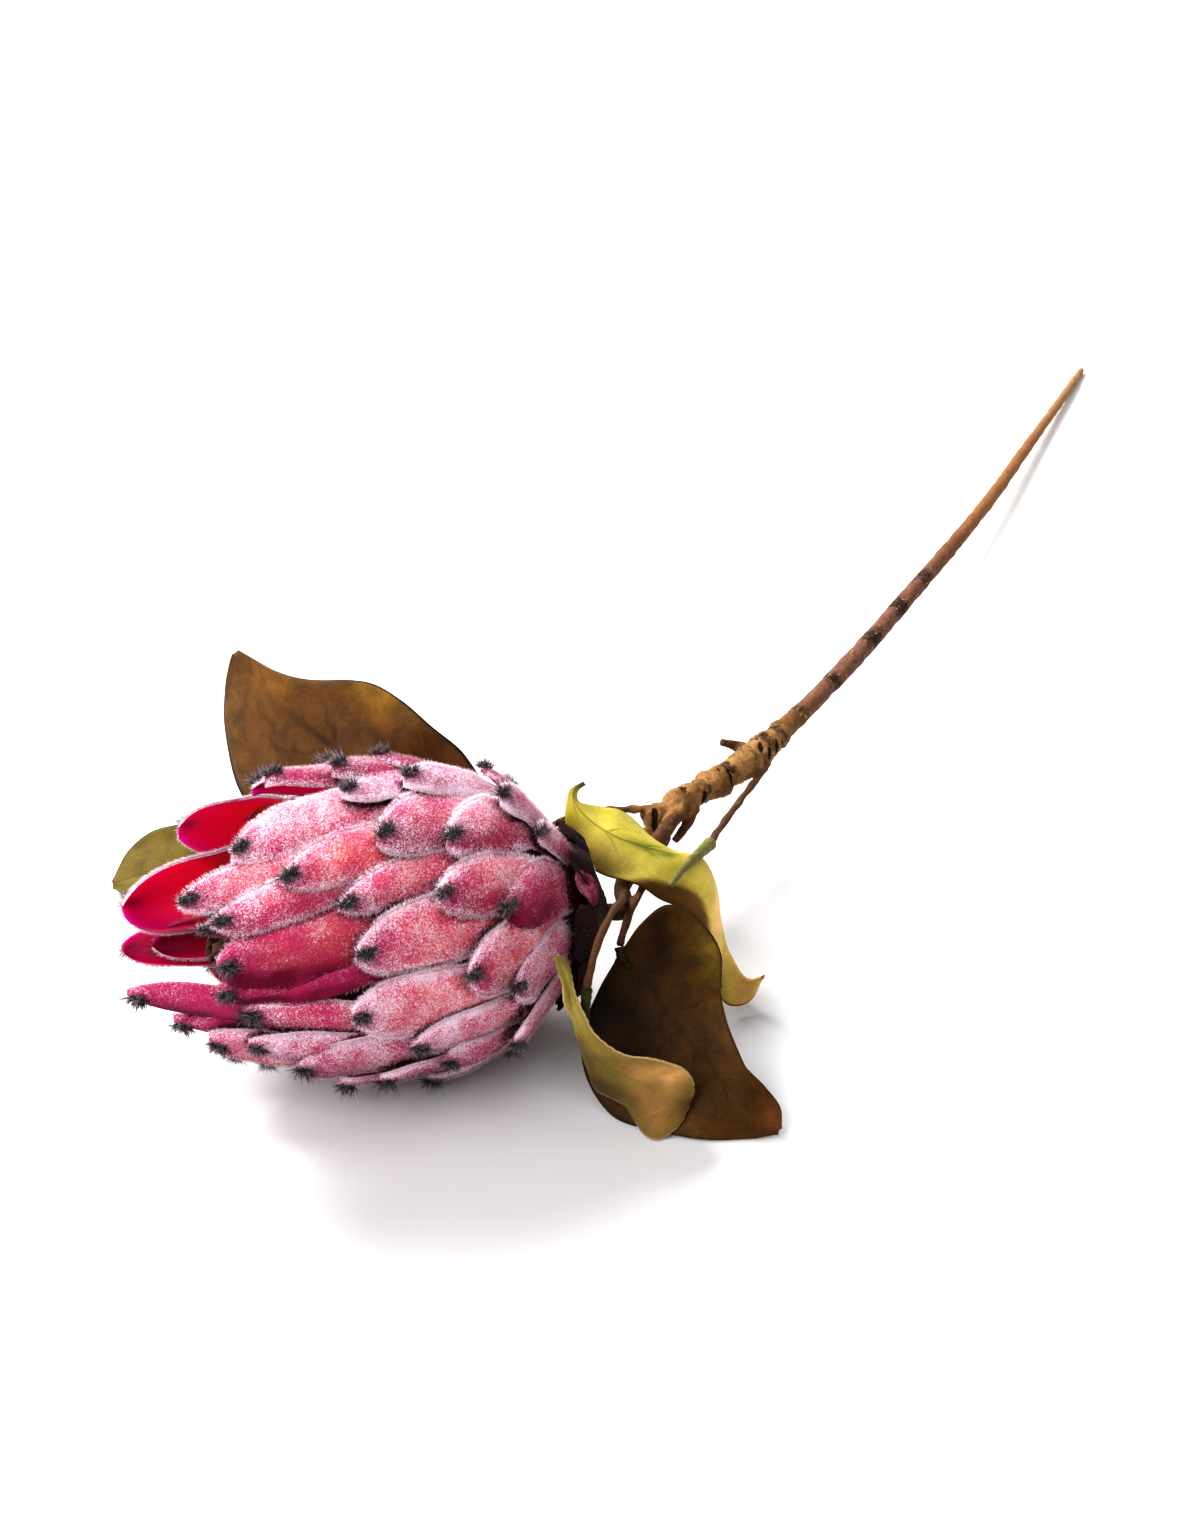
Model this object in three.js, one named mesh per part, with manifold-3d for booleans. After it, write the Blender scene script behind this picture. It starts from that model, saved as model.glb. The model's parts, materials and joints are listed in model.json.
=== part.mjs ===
// A cut protea stem lying on a table: one closed flower head, its dark base scales, the brown
// florets in its mouth, a knobbly stem and five leaves on thin stalks. Millimetres, +Z up.
// +X runs from the flower towards the cut end of the stem; the table is Z = 0.
import * as THREE from 'three';
import * as BufferGeometryUtils from 'three/addons/utils/BufferGeometryUtils.js';
import Module from 'manifold-3d';

const wasm = await Module();
wasm.setup();

// Where the flower head lies: the centre of its base and the way its axis points
const HEAD_BASE = new THREE.Vector3(-230.9, -44.9, 41.6);
const HEAD_AZIMUTH = 133.7;
const HEAD_RISE = 8.9;

// Outline of the closed head: [station along the axis, radius], base first
const HEAD_PROFILE = [
  [-9, 20], [0, 25.7], [7, 29], [12, 33.7], [23, 43.1], [36, 47.3], [49, 48.4], [62, 48.6],
  [79, 47.3], [95, 44.6], [108, 39.8], [121, 34.6], [134, 30.1], [152, 23.6],
];

// Bracts of the front and of the mouth, one by one from the base to the mouth: station of the
// tip, angle of the tip (0 faces up and out to the front, 90 down), length, width, degrees it
// turns from root to tip, how far the tip lifts off the head, how far it flares at its end and
// how far its margins roll in.
// Those with a blade stand free at the mouth, and blade is their thickness
const FRONT_BRACTS = [
  { tip: 20, angle: -40, length: 24, width: 15, turn: 27, lift: 1.6, flare: 0, cup: 0, blade: 0 },
  { tip: 31, angle: -53, length: 26, width: 20, turn: 20, lift: 3, flare: 0, cup: 0, blade: 0 },
  { tip: 34, angle: -6, length: 30, width: 23.5, turn: 18.5, lift: 0.2, flare: 0, cup: 0, blade: 0 },
  { tip: 30, angle: 24.5, length: 27, width: 22, turn: 8.5, lift: 0.6, flare: 0, cup: 0, blade: 0 },
  { tip: 31, angle: -84, length: 27, width: 24, turn: 10, lift: 1.6, flare: 0, cup: 0, blade: 0 },
  { tip: 27.5, angle: 50, length: 26, width: 22.5, turn: -1.5, lift: 3.2, flare: 0, cup: 0, blade: 0 },
  { tip: 45, angle: 17.5, length: 36, width: 25, turn: 13.5, lift: 1.8, flare: 0, cup: 0, blade: 0 },
  { tip: 50, angle: -31, length: 40, width: 24.5, turn: 27, lift: 1.6, flare: 0, cup: 0, blade: 0 },
  { tip: 54.5, angle: -12, length: 42, width: 20, turn: 9, lift: 2.8, flare: 0, cup: 0, blade: 0 },
  { tip: 59.5, angle: -58.5, length: 46, width: 21, turn: 25, lift: 3, flare: 0, cup: 0, blade: 0 },
  { tip: 59, angle: 46, length: 44, width: 18.5, turn: 6.5, lift: 2.4, flare: 0, cup: 0, blade: 0 },
  { tip: 48.5, angle: 54.5, length: 36, width: 19, turn: -12, lift: 3, flare: 0, cup: 0, blade: 0 },
  { tip: 65.5, angle: 69, length: 44, width: 19, turn: -4, lift: 3, flare: 0, cup: 0, blade: 0 },
  { tip: 64.5, angle: -83, length: 44, width: 21, turn: 4, lift: 2.4, flare: 0, cup: 0, blade: 0 },
  { tip: 70, angle: -33.5, length: 48, width: 26, turn: 25, lift: 1.6, flare: 0, cup: 0, blade: 0 },
  { tip: 78, angle: -56, length: 48, width: 19.5, turn: 27, lift: 1, flare: 0, cup: 0, blade: 0 },
  { tip: 79, angle: -70, length: 48, width: 19, turn: 24, lift: 3, flare: 0, cup: 0, blade: 0 },
  { tip: 82, angle: -9, length: 52, width: 15, turn: 22, lift: 0.6, flare: 0, cup: 0, blade: 0 },
  { tip: 77.5, angle: 8, length: 52, width: 23.5, turn: 14, lift: 2, flare: 0, cup: 0, blade: 0 },
  { tip: 78, angle: 31, length: 52, width: 23, turn: 5.5, lift: 3.2, flare: 0, cup: 0, blade: 0 },
  { tip: 91, angle: 61.5, length: 52, width: 30, turn: 0.5, lift: 3.2, flare: 0, cup: 0, blade: 0 },
  { tip: 98, angle: -19, length: 54, width: 19, turn: 25.5, lift: 1, flare: 0, cup: 0, blade: 0 },
  { tip: 98, angle: -77, length: 52, width: 20, turn: 6, lift: 2, flare: 0, cup: 0, blade: 0 },
  { tip: 110.5, angle: -35, length: 56, width: 23.5, turn: 27, lift: 1.2, flare: 0, cup: 0, blade: 2 },
  { tip: 107.5, angle: 37.5, length: 54, width: 15.5, turn: -3.5, lift: 0, flare: 0, cup: 0, blade: 2 },
  { tip: 105.5, angle: 49, length: 52, width: 18.5, turn: -12, lift: 4, flare: 0, cup: 0, blade: 2 },
  { tip: 116, angle: 57, length: 56, width: 25, turn: -14, lift: 3, flare: 1, cup: 0, blade: 1.8 },
  { tip: 115, angle: 17.5, length: 58, width: 28, turn: 19.5, lift: -0.2, flare: 0, cup: 0, blade: 2 },
  { tip: 117, angle: -3, length: 58, width: 15, turn: 27, lift: 2.6, flare: 0, cup: 0, blade: 1.8 },
  { tip: 114.5, angle: 31.5, length: 54, width: 15, turn: 20, lift: -0.8, flare: 0, cup: 0, blade: 1.8 },
  { tip: 125.5, angle: -12.5, length: 56, width: 15, turn: 27, lift: 1.6, flare: 0, cup: 0, blade: 1.8 },
  { tip: 119, angle: 0, length: 44, width: 13, turn: 4, lift: -11, flare: 0, cup: 2, blade: 1.8 },
  { tip: 139, angle: 40, length: 56, width: 15.5, turn: -0.5, lift: 2, flare: -1, cup: 0, blade: 1.8 },
  { tip: 125.5, angle: 60.5, length: 54, width: 17, turn: 7, lift: -0.6, flare: 0, cup: 0, blade: 1.8 },
  { tip: 120.5, angle: -128.5, length: 56, width: 30.5, turn: 22, lift: 4.6, flare: -2.5, cup: 0, blade: 1.8 },
  { tip: 99, angle: -106, length: 50, width: 20, turn: 4, lift: 0.2, flare: 0, cup: 0, blade: 1.8 },
  { tip: 137.5, angle: -170.5, length: 58, width: 33, turn: -16, lift: 2.6, flare: -2, cup: 6, blade: 1.8 },
  { tip: 137, angle: 162, length: 58, width: 15.5, turn: -5.5, lift: 1.8, flare: 7, cup: 1.5, blade: 1.8 },
  { tip: 128, angle: 164, length: 52, width: 20, turn: -10, lift: -5, flare: 8.5, cup: 5, blade: 1.8 },
];

// The back of the head carries even rows. tip: station of the tips, first: angle of one tip,
// count: bracts in a full round, of which those that fall on the front are left out
const BACK_ROWS = [
  { tip: 24, first: -8, count: 12, until: 262, length: 25, width: 29, turn: 8, lift: 0.8 },
  { tip: 49, first: -10, count: 14, until: 262, length: 40, width: 26, turn: 10, lift: 3.4 },
  { tip: 74, first: -11, count: 14, until: 262, length: 47, width: 26, turn: 10, lift: 3.4 },
  { tip: 95, first: -19, count: 12, until: 238, length: 50, width: 26, turn: 10, lift: 1 },
  { tip: 110, first: -4, count: 11, until: 204, length: 54, width: 25, turn: 8, lift: 0.4 },
];
const BACK_FROM = 84;
// The row at the mouth stands free like the mouth's own bracts
const BACK_MOUTH = { tip: 110, flare: 1, blade: 1.8 };
// Shares of a bract's length and of its half width at which its surface is set out
const BRACT_STATIONS = [0.3, 0.6, 0.86, 1];
const BRACT_COLUMNS = [-1, -0.42, 0.42, 1];
// Width of a bract as a share of its widest: at the root, and how it narrows to the tip
const ROOT_WIDTH = 0.62;
const FULL_FROM = 0.45;
const TAPER_FROM = 0.5;
const TAPER = 0.66;
const TAPER_POWER = 2.2;
// How far the margins drop below the middle, the root sinks into the head, and how deep a
// pressed bract's slab and a free bract's root are
const BRACT_CROWN = 1.6;
const ROOT_SINK = 6.5;
const SLAB_DEPTH = 9;
const BLADE_ROOT_DEPTH = 3;
// How much the bracts of the back differ from each other
const TIP_SCATTER = 7;
const ANGLE_SCATTER = 9;
const SIZE_SCATTER = 4;
const TURN_SCATTER = 14;
const LIFT_SCATTER = 1.2;

// Solid middle of the head: [station, inset below the outline], then a flat top
const CORE_SIDES = 22;
const CORE_INSETS = [[0, 1.5], [8, 4], [30, 5], [72, 5]];
const CORE_TOP = 96;
const CORE_TOP_RADIUS = 16;
const SEAT_GAP = 0.3;
const TABLE_SIZE = 400;
const TABLE_DEPTH = 40;

// Florets in the mouth: curled ribbons in three rings on a low disc
const FLORET_COUNT = 9;
const FLORET_RINGS = [4, 8, 12];
const FLORET_DISC = [[0, 14], [5, 10], [6, 0]];
const FLORET_DISC_SIDES = 10;
const FLORET_ROOT = 1;
const FLORET_HEIGHT = 15;
const FLORET_WIDTH = 7;
const FLORET_THICKNESS = 1.2;
const FLORET_SPREAD = 2.5;
const FLORET_TWIST = 14;
const FLORET_STATIONS = [0, 0.6, 1];
const FLORET_HEIGHT_SCATTER = 0.3;
const FLORET_TIP_WIDTH = 0.5;
// Least radius that a width is turned into an angle at
const FLORET_TURN_RADIUS = 6;

// Dark scales under the head. CUP and SCALE_LINE are [station, radius]
const CUP = [[-9, 5.5], [-6, 12], [-2.5, 19], [-0.3, 23]];
const CUP_SIDES = 14;
const SCALE_LINE = [[-7, 8], [-3, 18.5], [0, 27], [4, 29.3], [8, 31.7], [11, 34.9]];
const SCALE_COUNT = 11;
const SCALE_FIRST = 15;
const SCALE_TURN_SCATTER = 12;
const SCALE_ROOT = -7;
const SCALE_TIP = 6;
const SCALE_TIP_SCATTER = 5;
const SCALE_HALF_WIDTH = 8;
const SCALE_TAPER = 4.5;
const SCALE_THICKNESS = 1.4;
const SCALE_STATIONS = [0.2, 0.5, 0.78, 1];
const SCALE_TURN_RADIUS = 14;

// Stem: main run from the fork to the cut end, and the neck that carries the head
const STEM_RUN = [
  [-171, -37, 37], [-163, -41, 37], [-151, -43.5, 36], [-139, -45.5, 34.5], [-123, -48, 32.5],
  [-106, -48.5, 30], [-86, -47.5, 27], [-62, -47, 24], [-16, -45.5, 20], [43, -42.5, 16],
  [94, -40, 13], [150, -36.5, 10], [227, -29, 6], [273, -25, 4], [322, -20, 1.7],
];
const STEM_SIDES = 10;
const STEM_STEPS = 34;
// [share of the run, radius]
const STEM_RADII = [
  [0, 3.4], [0.03, 4.8], [0.07, 5.1], [0.11, 5.3], [0.145, 5.2], [0.175, 4], [0.23, 3.6],
  [0.32, 3.7], [0.44, 3.5], [0.66, 3], [0.81, 2.5], [0.97, 2.05], [1, 1.5],
];
// The bark is knobbly up to this share of the run, and nearly smooth past it
const KNOB_END = 0.165;
const KNOB_SIZE = 1.2;
const SMOOTH_SHARE = 0.12;
const NECK_STRAIGHT = 7;
const NECK_RUN = [[-211, -50.5, 40], [-201, -48.5, 40], [-186, -47, 38], [-160, -45, 37]];
const NECK_RADIUS = 2.7;
const NECK_POINTS = 11;
const NECK_SIDES = 7;
const STALK_RADIUS = 1.3;
const STALK_POINTS = 8;
const STALK_SIDES = 5;
// Broken side twigs of the fork, and the thorn
const STUBS = [
  [[-163, -43, 37], [-170, -40, 34], [-175, -37, 29]],
  [[-156, -47, 36], [-162, -48, 33], [-167, -46, 28]],
  [[-108, -48, 30], [-114, -42, 34.5], [-118, -38, 37]],
  [[-135, -46, 34], [-138, -45.5, 38], [-139, -45, 40]],
];
const STUB_POINTS = 4;
const STUB_RADIUS = 2.4;
const STUB_TIP_RADIUS = 1.3;

const BLADE_THICKNESS = 0.8;
const BLADE_ROWS = 13;
const BLADE_COLUMNS = 6;
const SLEEVE_RADIUS = 1.7;
const SLEEVE_END_RADIUS = 1;
const SLEEVE_POINTS = 5;
const SLEEVE_SIDES = 6;

// Leaves: the rib and the two margins of each blade as points it passes through, its stalk
// from the stem, and the sleeve that clasps stalk and blade
const LEAVES = {
  leaf_back: {
    colour: 0x6b4c1f,
    rib: [[-217.5, 9, 36], [-221.5, 26, 47], [-221, 49, 62], [-220, 74, 74], [-214, 97, 84]],
    near: [[-218.8, 11, 34], [-226.5, 30, 27], [-230, 57, 28], [-229, 81, 32], [-227, 92, 41],
      [-223, 98, 58], [-217, 100, 71], [-214.6, 98, 83.5]],
    far: [[-216, 8, 38], [-202, 6, 48], [-198, 17, 60], [-201, 28, 70], [-200, 40, 76],
      [-202, 51, 80], [-213, 67, 82], [-216, 81, 84], [-213.4, 96, 85]],
    stalk: [[-160, -44, 38], [-170, -36, 40], [-182, -22, 41], [-198, -9, 38], [-211.5, 1.5, 35]],
    sleeve: [[-212.1, 2, 34.9], [-216.5, 9, 37], [-220, 19, 42]],
  },
  leaf_far: {
    colour: 0x827a26,
    rib: [[-212, 52, 10], [-225, 75, 11], [-236, 97, 10], [-247, 114, 7], [-257, 127, 3]],
    near: [[-214, 51, 9], [-240, 66, 7], [-254, 85, 4], [-261, 105, 2], [-257.8, 126, 2]],
    far: [[-210, 53, 10], [-202, 74, 11], [-212, 98, 14], [-230, 117, 15], [-236, 126, 12],
      [-245, 130, 8], [-256, 128.4, 3]],
    stalk: [[-160, -45, 33], [-170, -28, 25], [-182, -5, 17], [-196, 22, 12], [-208, 44, 10]],
    sleeve: [[-208.17, 44.32, 10], [-213, 54, 10.4], [-219, 65, 11]],
  },
  leaf_top: {
    colour: 0xbdb446,
    rib: [[-196.5, -28, 64], [-202, -27.2, 64.2], [-205, -29, 62], [-206.5, -36.5, 58],
      [-207, -44.5, 56], [-204, -53, 53], [-197, -61, 48], [-189, -67, 43.5], [-189, -72, 36],
      [-192.5, -76, 27], [-195.5, -80, 19], [-197.5, -84, 12.5], [-198.8, -89, 9],
      [-198.8, -92.5, 9.4], [-197, -95.5, 11.5]],
    near: [[-196.6, -27.6, 64.6], [-203, -26.4, 64.2], [-206.5, -27.5, 61], [-209, -28.5, 56],
      [-209.5, -30, 50], [-211, -34, 45.5], [-212, -43, 43.5], [-212, -57.5, 44],
      [-209.6, -63.6, 39.4], [-205.7, -71.7, 35.4], [-204, -76, 30], [-202, -80.5, 18], [-204, -83, 8], [-207, -86.5, 4],
      [-204.5, -90.5, 2.5], [-201, -93.5, 4], [-196.6, -95, 10]],
    far: [[-196, -28.2, 63.2], [-201.4, -28.4, 63.4], [-203, -30, 61], [-197.5, -34.5, 57],
      [-192, -39.5, 54], [-189, -48, 46], [-189.5, -57.5, 33], [-191, -64, 24],
      [-193, -68.5, 19], [-194.5, -74.5, 14], [-194.5, -80, 9.5], [-195.4, -85, 7],
      [-197.6, -89.5, 7], [-197.8, -92.6, 8.8], [-197.6, -95.9, 13]],
    stalk: [[-100, -50, 28], [-112, -53.5, 29], [-141, -57.5, 33], [-168, -62.5, 39],
      [-180, -66, 43.4]],
    sleeve: [[-180.3, -66.1, 43.5], [-191, -67, 46], [-200, -66.6, 46.6], [-208, -66, 44.6]],
  },
  leaf_front: {
    colour: 0x4a3412,
    rib: [[-238.5, -65, 38], [-237.5, -72.5, 33], [-241.5, -85, 25], [-246.5, -101.5, 16],
      [-250, -117.5, 8], [-249.5, -127, 3]],
    near: [[-239.4, -64.6, 37], [-246, -62, 28], [-253.5, -60.5, 15], [-262, -67.5, 6],
      [-267.6, -79.5, 1.2], [-266.5, -92, 0.8], [-262.5, -107, 0.8], [-255, -120, 0.8],
      [-249.8, -127, 2]],
    far: [[-238, -65.4, 39], [-229.5, -68, 46], [-218, -71.5, 46.5], [-216.5, -82, 43],
      [-219.5, -90, 37], [-227.5, -94.5, 31], [-237.5, -102, 25], [-243, -111, 18],
      [-243.5, -119, 12], [-245, -125, 8], [-248.8, -127.6, 3.8]],
    stalk: [[-176, -48, 36], [-194.5, -53.5, 38], [-210, -57, 41], [-223, -60, 42],
      [-232, -62.8, 41.4], [-236.4, -64.2, 40.2]],
    sleeve: [[-237.2, -64.5, 39.6], [-238.6, -66.4, 37], [-237.6, -69, 34], [-236, -72.2, 31.4]],
  },
  leaf_curl: {
    colour: 0x95874b,
    rib: [[-275, -64.6, 64], [-274, -67, 56], [-271.6, -67.5, 46], [-271, -70.5, 35],
      [-272, -77.5, 27], [-269.5, -86.5, 22], [-264.5, -94, 16], [-261, -99, 13],
      [-257.6, -101.8, 12]],
    near: [[-275.4, -64.2, 63.4], [-275, -66.5, 54], [-274.4, -67, 47], [-270.6, -66.8, 38],
      [-267.6, -68, 27], [-267.6, -70, 17], [-268.5, -73.5, 10], [-268, -79.5, 9],
      [-266.5, -84, 7], [-267.5, -88, 4], [-269.5, -93, 1.2], [-268.5, -96.5, 0.9],
      [-263.5, -100.5, 4], [-258, -101.6, 10.5]],
    far: [[-274.6, -65, 64.6], [-272.6, -67, 61], [-272.8, -68.6, 57], [-272.6, -70, 47],
      [-273, -73, 42], [-272.6, -75.2, 38], [-272.6, -82, 35], [-271.4, -87.5, 33],
      [-268, -92.5, 31], [-264, -96.5, 28], [-260.5, -99.8, 25], [-258.4, -101.8, 20],
      [-257.6, -102.2, 13.5]],
    stalk: [[-184, -47, 37], [-196, -48, 36], [-207, -50, 37], [-218, -55, 43], [-230, -61, 52],
      [-243, -66, 60], [-255, -69, 61.5], [-262, -70, 58], [-265, -70.4, 54], [-266.6, -70, 48]],
    sleeve: [[-266.7, -70, 47.65], [-268.4, -70.6, 42], [-270.4, -72, 35]],
  },
};

const MATERIALS = {
  bloom: [0xc96b8c, 0.85],
  inner_florets: [0x5a3f24, 0.8],
  base_bracts: [0x3a2320, 0.8],
  stem: [0x8a6434, 0.7],
  leaf: [0x6b5a22, 0.55],
};

// Helpers

function noise(index, channel) {
  const value = Math.sin(index * 12.9898 + channel * 78.233) * 43758.5453;
  return value - Math.floor(value) - 0.5;
}

function interpolate(table, x) {
  if (x <= table[0][0]) return table[0][1];
  for (let i = 1; i < table.length; i += 1) {
    const [x0, y0] = table[i - 1];
    const [x1, y1] = table[i];
    if (x <= x1) return y0 + ((y1 - y0) * (x - x0)) / (x1 - x0);
  }
  return table[table.length - 1][1];
}

function toVector(point) {
  return new THREE.Vector3(point[0], point[1], point[2]);
}

// Smooth curve through points, as count points equally far apart
function curveThrough(points, count) {
  const knots = points.map(toVector);
  const last = knots.length - 1;
  const spans = knots.slice(1).map((knot, i) => knot.distanceTo(knots[i]));
  const slopes = knots.map((knot, i) => {
    const before = Math.max(i - 1, 0);
    const after = Math.min(i + 1, last);
    const length = spans.slice(before, after).reduce((sum, span) => sum + span, 0);
    return knots[after].clone().sub(knots[before]).divideScalar(length);
  });
  const steps = 16;
  const dense = [knots[0].clone()];
  for (let i = 0; i < last; i += 1) {
    for (let k = 1; k <= steps; k += 1) {
      const t = k / steps;
      const t2 = t * t;
      const t3 = t2 * t;
      const point = knots[i].clone().multiplyScalar(2 * t3 - 3 * t2 + 1);
      point.addScaledVector(slopes[i], (t3 - 2 * t2 + t) * spans[i]);
      point.addScaledVector(knots[i + 1], 3 * t2 - 2 * t3);
      point.addScaledVector(slopes[i + 1], (t3 - t2) * spans[i]);
      dense.push(point);
    }
  }
  const run = [0];
  for (let i = 1; i < dense.length; i += 1) run.push(run[i - 1] + dense[i].distanceTo(dense[i - 1]));
  const total = run[run.length - 1];
  const result = [];
  let j = 1;
  for (let i = 0; i < count; i += 1) {
    const goal = (total * i) / (count - 1);
    while (j < dense.length - 1 && run[j] < goal) j += 1;
    const share = Math.min(1, (goal - run[j - 1]) / (run[j] - run[j - 1]));
    result.push(dense[j - 1].clone().lerp(dense[j], share));
  }
  return result;
}

function geometryFrom(points, triangles) {
  const positions = new Float32Array(points.length * 3);
  points.forEach((point, i) => point.toArray(positions, i * 3));
  const geometry = new THREE.BufferGeometry();
  geometry.setAttribute('position', new THREE.BufferAttribute(positions, 3));
  geometry.setIndex(triangles.flat());
  return geometry;
}

function toSolid(geometry) {
  const bare = geometry.clone();
  bare.deleteAttribute('normal');
  bare.deleteAttribute('uv');
  const merged = BufferGeometryUtils.mergeVertices(bare, 1e-4);
  return new wasm.Manifold(new wasm.Mesh({
    numProp: 3,
    vertProperties: merged.attributes.position.array,
    triVerts: new Uint32Array(merged.index.array),
  }));
}

function joinSolids(solids) {
  return solids.reduce((whole, solid) => whole.add(solid));
}

// The triangles of the outermost skin: small pockets closed in between pieces are filled
function outerSkin(vertProperties, triVerts) {
  const parent = Array.from({ length: vertProperties.length / 3 }, (_, i) => i);
  const root = (i) => {
    let top = i;
    while (parent[top] !== top) top = parent[top];
    parent[i] = top;
    return top;
  };
  for (let i = 0; i < triVerts.length; i += 3) {
    parent[root(triVerts[i + 1])] = root(triVerts[i]);
    parent[root(triVerts[i + 2])] = root(triVerts[i]);
  }
  const shells = new Map();
  for (let i = 0; i < triVerts.length; i += 3) {
    const shell = root(triVerts[i]);
    if (!shells.has(shell)) shells.set(shell, []);
    shells.get(shell).push(triVerts[i], triVerts[i + 1], triVerts[i + 2]);
  }
  return [...shells.values()].reduce((a, b) => (b.length > a.length ? b : a));
}

function toMesh(name, solid, colour, roughness) {
  const { vertProperties, triVerts } = solid.getMesh();
  const geometry = new THREE.BufferGeometry();
  geometry.setAttribute('position', new THREE.BufferAttribute(vertProperties, 3));
  geometry.setIndex(outerSkin(vertProperties, triVerts));
  const flat = geometry.toNonIndexed();
  flat.computeVertexNormals();
  const material = new THREE.MeshStandardMaterial({ color: colour, roughness, metalness: 0 });
  const mesh = new THREE.Mesh(flat, material);
  mesh.name = name;
  return mesh;
}

// Closed plate between two grids of points, its triangles alike on both faces
function plate(top, bottom) {
  const rows = top.length;
  const columns = top[0].length;
  const points = [...top.flat(), ...bottom.flat()];
  const under = rows * columns;
  const triangles = [];
  const at = (row, column) => row * columns + column;
  for (let i = 0; i < rows - 1; i += 1) {
    for (let j = 0; j < columns - 1; j += 1) {
      const [a, b, c, d] = [at(i, j), at(i, j + 1), at(i + 1, j + 1), at(i + 1, j)];
      triangles.push([a, b, c], [a, c, d]);
      triangles.push([under + a, under + c, under + b], [under + a, under + d, under + c]);
    }
  }
  const rim = [];
  for (let j = 0; j < columns - 1; j += 1) rim.push(at(0, j));
  for (let i = 0; i < rows - 1; i += 1) rim.push(at(i, columns - 1));
  for (let j = columns - 1; j > 0; j -= 1) rim.push(at(rows - 1, j));
  for (let i = rows - 1; i > 0; i -= 1) rim.push(at(i, 0));
  rim.forEach((a, i) => {
    const b = rim[(i + 1) % rim.length];
    triangles.push([a, under + b, b], [a, under + a, under + b]);
  });
  return geometryFrom(points, triangles);
}

// Closed round bar along a list of points; radius is a function of share along and side
function bar(path, radius, sides) {
  const points = [];
  let side = new THREE.Vector3(0, 0, 1);
  path.forEach((point, i) => {
    const before = path[Math.max(i - 1, 0)];
    const after = path[Math.min(i + 1, path.length - 1)];
    const along = after.clone().sub(before).normalize();
    side = side.clone().addScaledVector(along, -side.dot(along)).normalize();
    const across = along.clone().cross(side);
    for (let k = 0; k < sides; k += 1) {
      const angle = (2 * Math.PI * k) / sides;
      const r = radius(i / (path.length - 1), k);
      const rim = point.clone().addScaledVector(side, r * Math.cos(angle));
      points.push(rim.addScaledVector(across, r * Math.sin(angle)));
    }
  });
  const triangles = [];
  for (let i = 0; i < path.length - 1; i += 1) {
    for (let k = 0; k < sides; k += 1) {
      const [a, b] = [i * sides + k, i * sides + ((k + 1) % sides)];
      triangles.push([a, b, b + sides], [a, b + sides, a + sides]);
    }
  }
  const end = (path.length - 1) * sides;
  for (let k = 1; k < sides - 1; k += 1) {
    triangles.push([0, k + 1, k], [end, end + k, end + k + 1]);
  }
  return geometryFrom(points, triangles);
}

// The head's own frame: station along its axis, angle round it, radius from it

const radians = THREE.MathUtils.degToRad;
const AXIS = new THREE.Vector3(
  Math.cos(radians(HEAD_RISE)) * Math.cos(radians(HEAD_AZIMUTH)),
  Math.cos(radians(HEAD_RISE)) * Math.sin(radians(HEAD_AZIMUTH)),
  Math.sin(radians(HEAD_RISE)),
);
// Angle 0 faces the front of the table, tipped up by this much from level
const FACE_TILT = 33.8;
const LEVEL = new THREE.Vector3(0, 0, 1).cross(AXIS).normalize();
const UPWARD = AXIS.clone().cross(LEVEL);
const FACE = LEVEL.clone().multiplyScalar(Math.cos(radians(FACE_TILT)))
  .addScaledVector(UPWARD, Math.sin(radians(FACE_TILT)));
const DOWN = FACE.clone().cross(AXIS);

function headPoint(station, angle, radius) {
  return HEAD_BASE.clone()
    .addScaledVector(AXIS, station)
    .addScaledVector(FACE, radius * Math.cos(radians(angle)))
    .addScaledVector(DOWN, radius * Math.sin(radians(angle)));
}

const headRadius = (station) => interpolate(HEAD_PROFILE, station);

// Turned solid of the head's frame from [station, radius] pairs that start and end on the axis
function turned(profile, sides) {
  const outline = profile.map(([station, radius]) => new THREE.Vector2(radius, station));
  const geometry = new THREE.LatheGeometry(outline, sides);
  const position = geometry.attributes.position;
  for (let i = 0; i < position.count; i += 1) {
    const angle = THREE.MathUtils.radToDeg(Math.atan2(position.getZ(i), position.getX(i)));
    const radius = Math.hypot(position.getX(i), position.getZ(i));
    const point = headPoint(position.getY(i), angle, radius);
    position.setXYZ(i, point.x, point.y, point.z);
  }
  return geometry;
}

// Half width of a bract along its length, as a share of its widest half width
function bractOutline(along) {
  const root = ROOT_WIDTH + (1 - ROOT_WIDTH) * Math.min(1, along / FULL_FROM);
  const taper = Math.max(0, (along - TAPER_FROM) / (1 - TAPER_FROM));
  return root * (1 - TAPER * taper ** TAPER_POWER);
}

function bractPoint(bract, along, across, depth) {
  const station = bract.tip - bract.length * (1 - along);
  const reach = (bract.width / 2) * bractOutline(along) * across;
  const envelope = headRadius(station);
  const angle = bract.angle + bract.turn * (along - 1)
    + THREE.MathUtils.radToDeg(reach / envelope);
  const sink = ROOT_SINK * (1 - along) ** 1.1;
  const crown = (BRACT_CROWN + bract.cup) * across * across * Math.min(1, along * 2);
  const stand = bract.lift * along + bract.flare * along ** 4;
  return headPoint(station, angle, envelope - sink - crown + stand - depth);
}

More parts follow.
